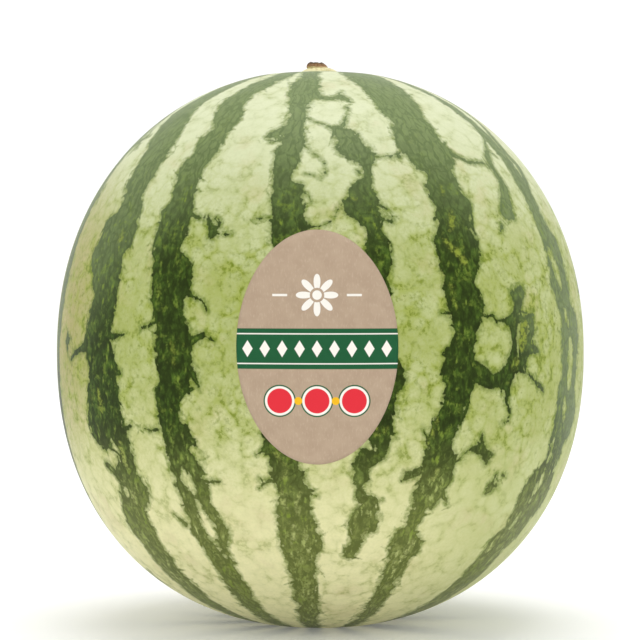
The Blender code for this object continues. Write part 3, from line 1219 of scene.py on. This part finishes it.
    def ends(
        self, maps: dict[str, Field], colour: bpy.types.NodeSocket
    ) -> bpy.types.NodeSocket:
        """Add the stem's pale collar and the corky blossom scar.

        Args:
            maps: the textures.
            colour: the colour of the rest of the rind.

        Returns:
            The colour with both.
        """
        radius = maps["radius"] + (maps["ragged"] - 0.5) * 2.0
        edge = self.collar_blur_mm
        collar = radius.ramp(self.collar_mm - edge, self.collar_mm + edge, 0.9, 0.0)
        cream = blend(maps["mottle"].ramp(0.48, 0.66, 0.0, 0.7), self.collar, self.cork)
        colour = blend(collar * maps["rise"].ramp(0, 10), colour, cream)
        edge = self.scar_blur_mm
        scar = radius.ramp(self.scar_mm - edge, self.scar_mm + edge, 1.0, 0.0)
        return blend(scar * maps["rise"].ramp(-10, 0, 1.0, 0.0), colour, self.cork)


@dataclass
class Rind:
    """The fruit's outside with its neck, flat spot and blossom scar.

    The stem's seat and the scar are flat up to a share of their radius, their floor.
    """

    form: FruitForm
    chart: StripeChart
    segments: int = 416
    rings: int = 232
    neck_share: float = 0.06
    seat_radius: float = 3.6 * MM
    seat_depth: float = 0.5 * MM
    scar_radius: float = 5.0 * MM
    scar_depth: float = 0.8 * MM
    seat_floor: float = 0.6
    scar_floor: float = 0.4
    flat_blend: float = 1.5 * MM

    def sizes(self) -> dict[str, float]:
        """Name the tree's inputs.

        Returns:
            The sizes of the form and of the rind by input name.
        """
        form = (
            "radius", "crown_rise", "base_drop", "crown_fullness", "base_fullness", "equator",
            "crown_dip", "crown_dip_radius", "lobes", "lobe_depth", "out_of_round",
            "neck_rise", "neck_top", "neck_foot",
        )
        own = (
            "neck_share", "seat_radius", "seat_depth", "scar_radius", "scar_depth", "flat_blend",
        )
        values = {name: getattr(self.form, name) for name in form}
        values.update({name: getattr(self, name) for name in own})
        return {name.replace("_", " ").title(): value for name, value in values.items()}

    def neck(self, recipe: Recipe, share: Field) -> tuple[Field, Field]:
        """Place the neck's rings.

        Args:
            recipe: the recipe that holds the sizes.
            share: how far down the neck a ring is, 0 at the pole and 1 at its foot.

        Returns:
            The ring's radius and its height.
        """
        radius = recipe.size("Neck Foot") * share
        fullness = recipe.size("Crown Fullness")
        drop = (radius / recipe.size("Radius")) ** fullness
        crown = (drop * -1 + 1) ** (fullness ** -1)
        height = recipe.size("Equator") + recipe.size("Crown Rise") * crown
        rise = radius.ramp(recipe.size("Neck Top"), recipe.size("Neck Foot"), 1.0, 0.0)
        seat = recipe.size("Seat Radius")
        seat = radius.ramp(seat * self.seat_floor, seat, 1.0, 0.0)
        height = height + recipe.size("Neck Rise") * rise - recipe.size("Seat Depth") * seat
        return radius, height

    def body(self, recipe: Recipe, share: Field) -> tuple[Field, Field]:
        """Place the body's rings.

        Args:
            recipe: the recipe that holds the sizes.
            share: how far down a ring is, 0 at the neck's foot and 1 in the middle underneath.

        Returns:
            The ring's radius and its height.
        """
        foot = self.form.neck_foot
        rise = float(1 - (foot / self.form.radius) ** self.form.crown_fullness)
        start = math.atan2(foot / self.form.radius, rise ** (1 / self.form.crown_fullness))
        polar = share * (math.pi - start) + start
        side, up = polar.math("SINE"), polar.math("COSINE")
        below = up.math("LESS_THAN", 0.0)
        crown, base = recipe.size("Crown Rise"), recipe.size("Base Drop")
        reach = crown + below * (base - crown)
        full, flat = recipe.size("Crown Fullness"), recipe.size("Base Fullness")
        fullness = full + below * (flat - full)
        scale = (side ** fullness + up.math("ABSOLUTE") ** fullness) ** (fullness ** -1 * -1)
        radius = recipe.size("Radius") * side.most(0.0) * scale
        height = recipe.size("Equator") + reach * up * scale
        height = height.math("SMOOTH_MAX", 0.0, recipe.size("Flat Blend"))
        scar = recipe.size("Scar Radius")
        scar = radius.ramp(scar * self.scar_floor, scar, 1.0, 0.0)
        return radius, height + recipe.size("Scar Depth") * scar * below

    def build(self, finish: bpy.types.Material) -> bpy.types.Object:
        """Move a sphere's rings onto the fruit's form and mark the stripes on it.

        Args:
            finish: the rind's material.

        Returns:
            The rind.
        """
        recipe = Recipe("watermelon_rind", self.sizes())
        tree = recipe.tree
        inputs = {"Segments": self.segments, "Rings": self.rings, "Radius": 1.0}
        ball = add_node(tree, "GeometryNodeMeshUVSphere", {}, inputs)
        where = add_node(tree, "GeometryNodeInputPosition", {}, {}).outputs[0]
        parts = add_node(tree, "ShaderNodeSeparateXYZ", {}, {0: where})
        x, y, z = (Field(tree, socket) for socket in parts.outputs)
        share = z.least(1.0).most(-1.0).math("ARCCOSINE") / math.pi
        angle = x.math("ARCTAN2", y * -1)
        neck_share = recipe.size("Neck Share")
        neck_radius, neck_height = self.neck(recipe, share / neck_share)
        body_share = ((share - neck_share) / (neck_share * -1 + 1)).most(0.0)
        body_radius, body_height = self.body(recipe, body_share)
        on_neck = share.math("LESS_THAN", neck_share)
        radius = body_radius + on_neck * (neck_radius - body_radius)
        height = body_height + on_neck * (neck_height - body_height)
        dip = radius.ramp(0.0, recipe.size("Crown Dip Radius"), 1.0, 0.0)
        crown = share.math("LESS_THAN", 0.5)
        height = height - recipe.size("Crown Dip") * dip * crown
        lobes = recipe.size("Lobe Depth") * (angle * recipe.size("Lobes")).math("SINE")
        oval = recipe.size("Out Of Round") * (angle * 2).math("SINE")
        radius = radius + (lobes + oval) * (radius / recipe.size("Radius")) ** 2
        across, back = radius * angle.math("SINE"), radius * angle.math("COSINE") * -1
        place = add_node(tree, "ShaderNodeCombineXYZ", {}, {0: across, 1: back, 2: height})
        inputs = {"Geometry": ball.outputs["Mesh"], "Position": place.outputs[0]}
        moved = add_node(tree, "GeometryNodeSetPosition", {}, inputs)
        piece = recipe.make(moved.outputs[0], finish)
        self.mark(piece.data)
        return piece

    def mark(self, mesh: bpy.types.Mesh) -> None:
        """Store the chart of stripes, and a grain along the fruit, all in mm.

        Args:
            mesh: the rind's mesh, which gets one attribute for each.
        """
        flat = np.empty(3 * len(mesh.vertices))
        mesh.vertices.foreach_get("co", flat)
        points = flat.reshape(-1, 3)
        measures = self.chart.markings(points)
        azimuth = np.arctan2(points[:, 0], -points[:, 1])
        run = self.chart.polar_of(points) * self.form.crown_rise
        girth = self.form.radius
        grain = np.stack([girth * np.sin(azimuth), -girth * np.cos(azimuth), run], 1)
        measures["grain"] = grain / MM
        for name, values in measures.items():
            kind, key = ("FLOAT", "value") if values.ndim == 1 else ("FLOAT_VECTOR", "vector")
            store = mesh.attributes.new(name, kind, "POINT")
            store.data.foreach_set(key, values.astype(np.float32).ravel())


def bridge(body: bmesh.types.BMesh, rings: list[list[bmesh.types.BMVert]]) -> None:
    """Join rings of as many points by faces.

    Args:
        body: the mesh in the making.
        rings: the rings, each next to the one that it joins.
    """
    for first, second in zip(rings, rings[1:]):
        for i in range(len(first)):
            j = (i + 1) % len(first)
            body.faces.new((first[i], first[j], second[j], second[i]))


def add_object(
    name: str, body: bmesh.types.BMesh, finish: bpy.types.Material
) -> bpy.types.Object:
    """Turn a mesh in the making into a smooth object of the scene.

    Args:
        name: name of the object.
        body: the mesh in the making, which is used up.
        finish: the material.

    Returns:
        The object.
    """
    mesh = bpy.data.meshes.new(name)
    body.to_mesh(mesh)
    body.free()
    mesh.shade_smooth()
    mesh.materials.append(finish)
    made = bpy.data.objects.new(name, mesh)
    bpy.context.scene.collection.objects.link(made)
    return made


def shell(name: str, rows: np.ndarray, finish: bpy.types.Material) -> bpy.types.Object:
    """Join rings of points into a closed skin, with a point in the middle of each end.

    Args:
        name: name of the object.
        rows: rings by points by x, y and z, the first ring uppermost or outermost.
        finish: the material.

    Returns:
        The object, its faces turned outwards.
    """
    body = bmesh.new()
    rings = [[body.verts.new(point) for point in row] for row in rows]
    bridge(body, rings)
    for ring in (rings[0], rings[-1]):
        middle = body.verts.new(sum((v.co for v in ring), Vector()) / len(ring))
        for i in range(len(ring)):
            body.faces.new((ring[i], ring[(i + 1) % len(ring)], middle))
    bmesh.ops.recalc_face_normals(body, faces=body.faces)
    return add_object(name, body, finish)


@dataclass(frozen=True)
class PrintedKraft:
    """Uncoated kraft paper, printed in flat inks.

    Unbleached fibres give it a warm, faintly cloudy brown with no gloss, and the inks lie
    flat and even on it. The ornament is a generic one.
    """

    paper: str = "#B8A28A"
    paper_dark: str = "#A8917A"
    paper_light: str = "#CDB9A2"
    green_ink: str = "#1B5A35"
    cream_ink: str = "#F6F2E8"
    red_ink: str = "#E2303C"
    yellow_ink: str = "#F4BC1E"
    cloud_mm: float = 6.0
    fibre_mm: float = 0.7
    fibre_stretch: float = 0.35
    relief_mm: float = 0.05
    band_top_mm: float = 7.6
    band_foot_mm: float = -8.7
    lozenge_pitch_mm: float = 7.0
    lozenge_half_width_mm: float = 2.1
    lozenge_half_height_mm: float = 3.4
    rule_offset_mm: float = 6.0
    rule_half_mm: float = 0.25
    rosette_rise_mm: float = 21.0
    rosette_radius_mm: float = 8.5
    rosette_petals: int = 8
    petal_taper: float = 0.7
    petal_foot_mm: float = 2.9
    eye_radius_mm: float = 1.9
    dash_aside_mm: float = 15.0
    dash_half_length_mm: float = 3.0
    dash_half_width_mm: float = 0.45
    disc_drop_mm: float = 21.5
    disc_pitch_mm: float = 15.0
    disc_radius_mm: float = 5.0
    disc_rim_share: float = 1.3
    disc_ring_share: float = 1.19
    bead_radius_mm: float = 1.6
    edge_mm: float = 0.12

    def inside(self, gap: Field) -> Field:
        """1 where a distance in mm is below 0, with a soft edge."""
        return gap.ramp(-self.edge_mm, self.edge_mm, 1.0, 0.0)

    def material(self) -> bpy.types.Material:
        """Build the material on the label's own map in millimetres.

        Returns:
            The material.
        """
        made, tree, shader = new_material("printed kraft paper")
        print_map = add_node(tree, "ShaderNodeUVMap", {"uv_map": "print_mm"}, {}).outputs[0]
        parts = add_node(tree, "ShaderNodeSeparateXYZ", {}, {0: print_map})
        across, up = Field(tree, parts.outputs[0]), Field(tree, parts.outputs[1])
        grid = (1 / self.fibre_mm, self.fibre_stretch / self.fibre_mm, 1)
        inputs = {"Vector": print_map, "Scale": grid}
        combed = add_node(tree, "ShaderNodeMapping", {}, inputs).outputs[0]
        kinds = (
            {"Vector": print_map, "Scale": 1 / self.cloud_mm, "Detail": 4.0},
            {"Vector": combed, "Scale": 1.0, "Detail": 3.0},
        )
        noises = (add_node(tree, "ShaderNodeTexNoise", {}, inputs) for inputs in kinds)
        clouds, fibres = (Field(tree, noise.outputs["Fac"]) for noise in noises)
        colour = blend(clouds.ramp(0.3, 0.7, 0.0, 0.45), self.paper, self.paper_dark)
        colour = blend(fibres.ramp(0.5, 0.75, 0.0, 0.35), colour, self.paper_light)
        band = self.inside(up - self.band_top_mm) * self.inside(up * -1 + self.band_foot_mm)
        colour = blend(band, colour, self.green_ink)
        cream = self.rosette(across, up).most(self.border(across, up))
        colour = blend(cream, colour, self.cream_ink)
        relief = {"Height": fibres, "Strength": 0.25, "Distance": self.relief_mm * MM}
        looks = {
            "Base Color": self.discs(across, up, colour),
            "Normal": add_node(tree, "ShaderNodeBump", {}, relief).outputs[0],
            "Roughness": 0.82,
            "Specular IOR Level": 0.25,
        }
        feed(tree, shader, looks)
        return made

    def rosette(self, across: Field, up: Field) -> Field:
        """Draw a rosette of petals round an eye, with a short dash on each side of it.

        Args:
            across: distance to the right of the label's middle.
            up: distance above it.

        Returns:
            1 in the ornament.
        """
        rise = up - self.rosette_rise_mm
        radius = (across * across + rise * rise) ** 0.5
        angle = across.math("ARCTAN2", rise)
        wave = (angle * (self.rosette_petals / 2)).math("COSINE").math("ABSOLUTE")
        reach = (wave ** self.petal_taper) * self.rosette_radius_mm
        petals = self.inside(radius - reach) * self.inside(radius * -1 + self.petal_foot_mm)
        eye = self.inside(radius - self.eye_radius_mm)
        along = (across.math("ABSOLUTE") - self.dash_aside_mm).math("ABSOLUTE")
        dash = self.inside(along - self.dash_half_length_mm)
        dash = dash * self.inside(rise.math("ABSOLUTE") - self.dash_half_width_mm)
        return petals.most(eye).most(dash)

    def border(self, across: Field, up: Field) -> Field:
        """Draw a row of lozenges between two rules along the band.

        Args:
            across: distance to the right of the label's middle.
            up: distance above it.

        Returns:
            1 in the lozenges and the rules.
        """
        middle = (self.band_top_mm + self.band_foot_mm) / 2
        rise = (up - middle).math("ABSOLUTE")
        half = self.lozenge_pitch_mm / 2
        step = across.math("WRAP", half, -half).math("ABSOLUTE")
        slope = step / self.lozenge_half_width_mm + rise / self.lozenge_half_height_mm
        lozenge = self.inside((slope - 1) * self.lozenge_half_width_mm)
        rule = self.inside((rise - self.rule_offset_mm).math("ABSOLUTE") - self.rule_half_mm)
        return lozenge.most(rule)

    def discs(
        self, across: Field, up: Field, colour: bpy.types.NodeSocket
    ) -> bpy.types.NodeSocket:
        """Print three red discs with a cream ring and a green rim, and beads between them.

        Args:
            across: distance to the right of the label's middle.
            up: distance above it.
            colour: the colour of the rest of the print.

        Returns:
            The colour with the discs and the yellow beads.
        """
        drop = up + self.disc_drop_mm
        half = self.disc_pitch_mm / 2
        step = across.math("WRAP", half, -half)
        within = self.inside(across.math("ABSOLUTE") - 3 * half)
        radius = (step * step + drop * drop) ** 0.5
        shares = (self.disc_rim_share, self.disc_ring_share, 1.0)
        inks = (self.green_ink, self.cream_ink, self.red_ink)
        for share, ink in zip(shares, inks):
            ring = self.inside(radius - share * self.disc_radius_mm) * within
            colour = blend(ring, colour, ink)
        beside = (across + half).math("WRAP", half, -half)
        bead = (beside * beside + drop * drop) ** 0.5
        within = self.inside(across.math("ABSOLUTE") - 2 * half)
        return blend(self.inside(bead - self.bead_radius_mm) * within, colour, self.yellow_ink)


@dataclass
class Label:
    """The oval paper label on the front."""

    form: FruitForm
    half_width: float = 32.6 * MM
    half_height: float = 47.3 * MM
    side_shift: float = -1.0 * MM
    rise: float = 5.9 * MM
    lift: float = 0.02 * MM
    thickness: float = 0.15 * MM
    ripple: float = 0.1 * MM
    ripples: int = 17
    ripple_start: float = 0.8
    rings: int = 22
    spokes: int = 144

    @property
    def middle(self) -> float:
        """Height of the label's middle above the floor."""
        return self.form.equator + self.rise

    def sheet(self, share: float, lift: float) -> np.ndarray:
        """Lay one ring of the sheet, raised a little where the edge ripples.

        Args:
            share: the ring's size as a share of the label's.
            lift: its height off the rind.

        Returns:
            Rows of x, y and z.
        """
        turn = once_round(self.spokes)
        across, up = share * self.half_width * np.cos(turn), share * self.half_height * np.sin(turn)
        points = self.form.front_points(across + self.side_shift, self.middle + up)
        wave = np.sin(self.ripples * turn + 2 * np.sin(3 * turn)) * np.sin(2 * turn + 1) ** 2
        edge = max((share - self.ripple_start) / (1 - self.ripple_start), 0) ** 2
        raised = lift + self.ripple * edge * np.maximum(wave, 0)
        return points + raised[:, None] * self.form.outward(points)

    def build(self, finish: bpy.types.Material) -> bpy.types.Object:
        """Lay the sheet on the rind, give it thickness, and map it in millimetres.

        Args:
            finish: the paper.

        Returns:
            The label.
        """
        shares = np.linspace(1 / self.rings, 1, self.rings)
        outside = [self.sheet(share, self.lift + self.thickness) for share in shares]
        inside = [self.sheet(share, self.lift) for share in shares[::-1]]
        piece = shell("paper_label", np.array(outside + inside), finish)
        self.map(piece.data)
        return piece

    def map(self, mesh: bpy.types.Mesh) -> None:
        """Store the distances in mm to the right and up from the label's middle as a map.

        Args:
            mesh: the label's mesh.
        """
        print_map = mesh.uv_layers.new(name="print_mm")
        for loop in mesh.loops:
            spot = mesh.vertices[loop.vertex_index].co
            across, up = spot.x - self.side_shift, spot.z - self.middle
            print_map.data[loop.index].uv = (across / MM, up / MM)


@dataclass(frozen=True)
class DriedStem:
    """Dried vine tissue, cut with a knife and left to wither.

    It is dull brown, nearly black at the rim of the cut, flecked with tan, and it turns to
    the cream of the fruit at its foot.
    """

    bark: str = "#86633A"
    bark_dark: str = "#3E2B1B"
    pith: str = "#BE9870"
    rust: str = "#6B4C24"
    foot: str = "#D9CC96"
    blotch_mm: float = 1.1
    rim_shares: tuple[float, float] = (0.5, 0.85)
    foot_share: float = 0.3
    relief_mm: float = 0.3

    def material(self, top: float, rise: float) -> bpy.types.Material:
        """Build the material.

        Args:
            top: the height of the stem's cut above the floor.
            rise: the height of the cut above the stem's foot.

        Returns:
            The material.
        """
        made, tree, shader = new_material("dried cut vine stem")
        spot = add_node(tree, "ShaderNodeTexCoord", {}, {}).outputs["Object"]
        inputs = {0: spot, "Scale": 1 / MM}
        plain = add_node(tree, "ShaderNodeVectorMath", {"operation": "SCALE"}, inputs).outputs[0]
        inputs = {"Vector": plain, "Scale": 1 / self.blotch_mm, "Detail": 5.0, "Roughness": 0.65}
        blotch = Field(tree, add_node(tree, "ShaderNodeTexNoise", {}, inputs).outputs["Fac"])
        parts = add_node(tree, "ShaderNodeSeparateXYZ", {}, {0: plain})
        height = Field(tree, parts.outputs["Z"]) - (top - rise) / MM
        rim_start, rim_end = (share * rise / MM for share in self.rim_shares)
        colour = blend(blotch.ramp(0.5, 0.64), self.bark, self.pith)
        colour = blend(blotch.ramp(0.38, 0.5, 0.9, 0.0), colour, self.rust)
        rim = (height + (blotch - 0.5) * 3.0).ramp(rim_start, rim_end)
        colour = blend(rim * 0.9, colour, self.bark_dark)
        foot = (height + (blotch - 0.5) * 2.5).ramp(0.0, self.foot_share * rise / MM, 1.0, 0.0)
        relief = {"Height": blotch, "Strength": 0.8, "Distance": self.relief_mm * MM}
        looks = {
            "Base Color": blend(foot, colour, self.foot),
            "Normal": add_node(tree, "ShaderNodeBump", {}, relief).outputs[0],
            "Roughness": 0.85,
        }
        feed(tree, shader, looks)
        return made


@dataclass
class Stem:
    """The dried stub of the stem on the neck, ribbed and with a hollow cut."""

    form: FruitForm
    cap_radius: float = 4.7 * MM
    cut_radius: float = 2.7 * MM
    proud: float = 2.7 * MM
    dish: float = 0.6 * MM
    sunk: float = 0.6 * MM
    shift: float = -0.8 * MM
    lean: float = 0.35
    ribs: tuple[tuple[float, int], ...] = ((0.05, 7), (0.03, 3), (0.02, 19))
    rim_waves: tuple[tuple[float, int], ...] = ((0.16, 2), (0.1, 5), (0.06, 13))
    rim_drop: float = 0.15 * MM
    rim_foot: float = 0.2 * MM
    segments: int = 96
    seed: int = 3

    def profile(self) -> list[tuple[float, float, float]]:
        """Step down the side of the stem.

        Returns:
            Radius, height above the neck and share of unevenness of each ring, from the cut.
        """
        shoulder = self.cap_radius - self.cut_radius
        return [
            (0.25 * self.cut_radius, self.proud - self.dish, 0.3),
            (0.55 * self.cut_radius, self.proud - 0.9 * self.dish, 0.6),
            (0.80 * self.cut_radius, self.proud - 0.5 * self.dish, 0.8),
            (0.92 * self.cut_radius, self.proud - 0.1 * self.dish, 1.0),
            (self.cut_radius, self.proud, 1.0),
            (self.cut_radius + 0.22 * shoulder, self.proud - 0.2 * MM, 1.0),
            (self.cut_radius + 0.50 * shoulder, self.proud - 0.7 * MM, 1.0),
            (self.cut_radius + 0.74 * shoulder, self.proud - 1.3 * MM, 1.0),
            (self.cut_radius + 0.92 * shoulder, self.proud - 2.0 * MM, 0.9),
            (self.cap_radius, 0.2 * MM, 0.7),
            (0.9 * self.cap_radius, -0.4 * self.sunk, 0.4),
            (0.6 * self.cap_radius, -self.sunk, 0.2),
        ]

    def waves(self, kinds: tuple, turn: np.ndarray, phases: np.ndarray) -> np.ndarray:
        """Add up waves round the stem.

        Args:
            kinds: each wave's size and its number of crests.
            turn: angles round the stem.
            phases: where each wave starts.

        Returns:
            Their sum at each angle.
        """
        pairs = zip(kinds, phases)
        return sum(size * np.sin(crests * turn + phase) for (size, crests), phase in pairs)

    def build(self, finish: bpy.types.Material) -> bpy.types.Object:
        """Turn the profile, with ribs down its side and a ragged rim.

        Args:
            finish: the stem's material.

        Returns:
            The stem.
        """
        draw = np.random.default_rng(self.seed)
        turn = once_round(self.segments)
        phases = draw.uniform(0, 2 * math.pi, len(self.ribs) + len(self.rim_waves))
        ribs = self.waves(self.ribs, turn, phases[:len(self.ribs)])
        rim = self.waves(self.rim_waves, turn, phases[len(self.ribs):]) * MM - self.rim_drop
        rows = []
        for radius, height, share in self.profile():
            reach = radius * (1 + share * ribs)
            raised = self.form.neck_height + height + share * rim * (height > self.rim_foot)
            aside = self.shift - self.lean * max(height, 0)
            across, back = aside + reach * np.sin(turn), -reach * np.cos(turn)
            rows.append(np.stack([across, back, raised + 0 * turn], 1))
        return shell("dried_stem_stub", np.array(rows), finish)


@dataclass
class Studio:
    """White seamless bowl, a broad soft light overhead, a weak one in front, and the camera."""

    photo: Viewpoint
    shrink: float = 0.97
    middle_y: float = 352.0
    sensor_mm: float = 36.0
    view_depth: float = 50
    paper: str = "#F8F8F8"
    white: str = "#FFFFFF"
    glow: float = 0.12
    floor_rings: tuple[float, float] = (0.5, 1.5)
    floor_radius: float = 2.6
    bend_radius: float = 1.2
    bend_steps: int = 16
    wall_height: float = 3.4
    sides: int = 96
    top_place: tuple[float, float, float] = (0.1, 0.2, 2.9)
    top_width: float = 2.0
    top_watts: float = 42.0
    front_place: tuple[float, float, float] = (-0.3, -3.2, 1.6)
    front_width: float = 1.6
    front_watts: float = 2.0
    world_strength: float = 0.66

    def camera(self) -> None:
        """Stand the camera where the photograph was taken, drawn a little smaller.

        The photograph cuts the fruit off above the floor. At this scale its lower end and
        the floor are in the frame too.
        """
        drawn = replace(
            self.photo, half_width=self.photo.half_width * self.shrink, middle_y=self.middle_y
        )
        lens = bpy.data.cameras.new("camera")
        lens.sensor_width = self.sensor_mm
        lens.lens = drawn.focal_px * self.sensor_mm / drawn.frame_px
        lens.clip_end = self.view_depth
        stand = bpy.data.objects.new("camera", lens)
        stand.matrix_world = Matrix.Translation(drawn.eye) @ drawn.turn.to_4x4()
        bpy.context.scene.collection.objects.link(stand)
        bpy.context.scene.camera = stand

    def backdrop(self) -> None:
        """Turn a floor that bends up into a wall all round."""
        made, tree, shader = new_material("matt white paper")
        looks = {
            "Base Color": linear(self.paper),
            "Roughness": 0.9,
            "Specular IOR Level": 0.1,
            "Emission Color": linear(self.white),
            "Emission Strength": self.glow,
        }
        feed(tree, shader, looks)
        bend = np.linspace(0, math.pi / 2, self.bend_steps)
        radii = self.floor_radius + self.bend_radius * np.sin(bend)
        heights = self.bend_radius * (1 - np.cos(bend))
        radii = np.concatenate([self.floor_rings, radii, [radii[-1]]])
        heights = np.concatenate([[0 for _ in self.floor_rings], heights, [self.wall_height]])
        body = bmesh.new()
        rings = [
            [body.verts.new((r * math.sin(a), -r * math.cos(a), h)) for a in once_round(self.sides)]
            for r, h in zip(radii, heights)
        ]
        body.faces.new(rings[0])
        bridge(body, rings[::-1])
        bowl = add_object("studio_bowl", body, made)

    def light(self, name: str, spot: Vector, width: float, watts: float) -> None:
        """Hang a square soft light that faces the fruit's middle.

        Args:
            name: its name.
            spot: its place.
            width: its width.
            watts: its power.
        """
        lamp = bpy.data.lights.new(name, "AREA")
        lamp.shape = "SQUARE"
        lamp.size = width
        lamp.energy = watts
        stand = bpy.data.objects.new(name, lamp)
        aim = (self.photo.middle - spot).to_track_quat("-Z", "Y").to_matrix().to_4x4()
        stand.matrix_world = Matrix.Translation(spot) @ aim
        stand.visible_camera = False
        bpy.context.scene.collection.objects.link(stand)

    def build(self) -> None:
        """Set up the backdrop, the lights and the camera."""
        self.backdrop()
        self.light("overhead softbox", Vector(self.top_place), self.top_width, self.top_watts)
        self.light("front softbox", Vector(self.front_place), self.front_width, self.front_watts)
        world = bpy.data.worlds.new("studio")
        world.use_nodes = True
        sky = world.node_tree.nodes["Background"]
        looks = {"Color": linear(self.white), "Strength": self.world_strength}
        feed(world.node_tree, sky, looks)
        bpy.context.scene.world = world
        bpy.context.scene.view_settings.view_transform = "Standard"
        bpy.context.scene.view_settings.look = "None"
        self.camera()


def main() -> None:
    """Build the rind, the stem, the label and the studio, in that order."""
    logging.basicConfig(level=logging.INFO, format="%(name)s: %(message)s")
    form = FruitForm()
    photo = Viewpoint(form)
    chart = StripeChart(form, photo)
    rind = Rind(form, chart).build(WaxyRind().material(form))
    dress(rind, "fruit")
    stem = Stem(form)
    finish = DriedStem().material(form.neck_height + stem.proud, stem.proud)
    dress(stem.build(finish), "stem_stub")
    label = Label(form).build(PrintedKraft().material())
    dress(label, "label")
    Studio(photo).build()


if __name__ == "__main__":
    main()
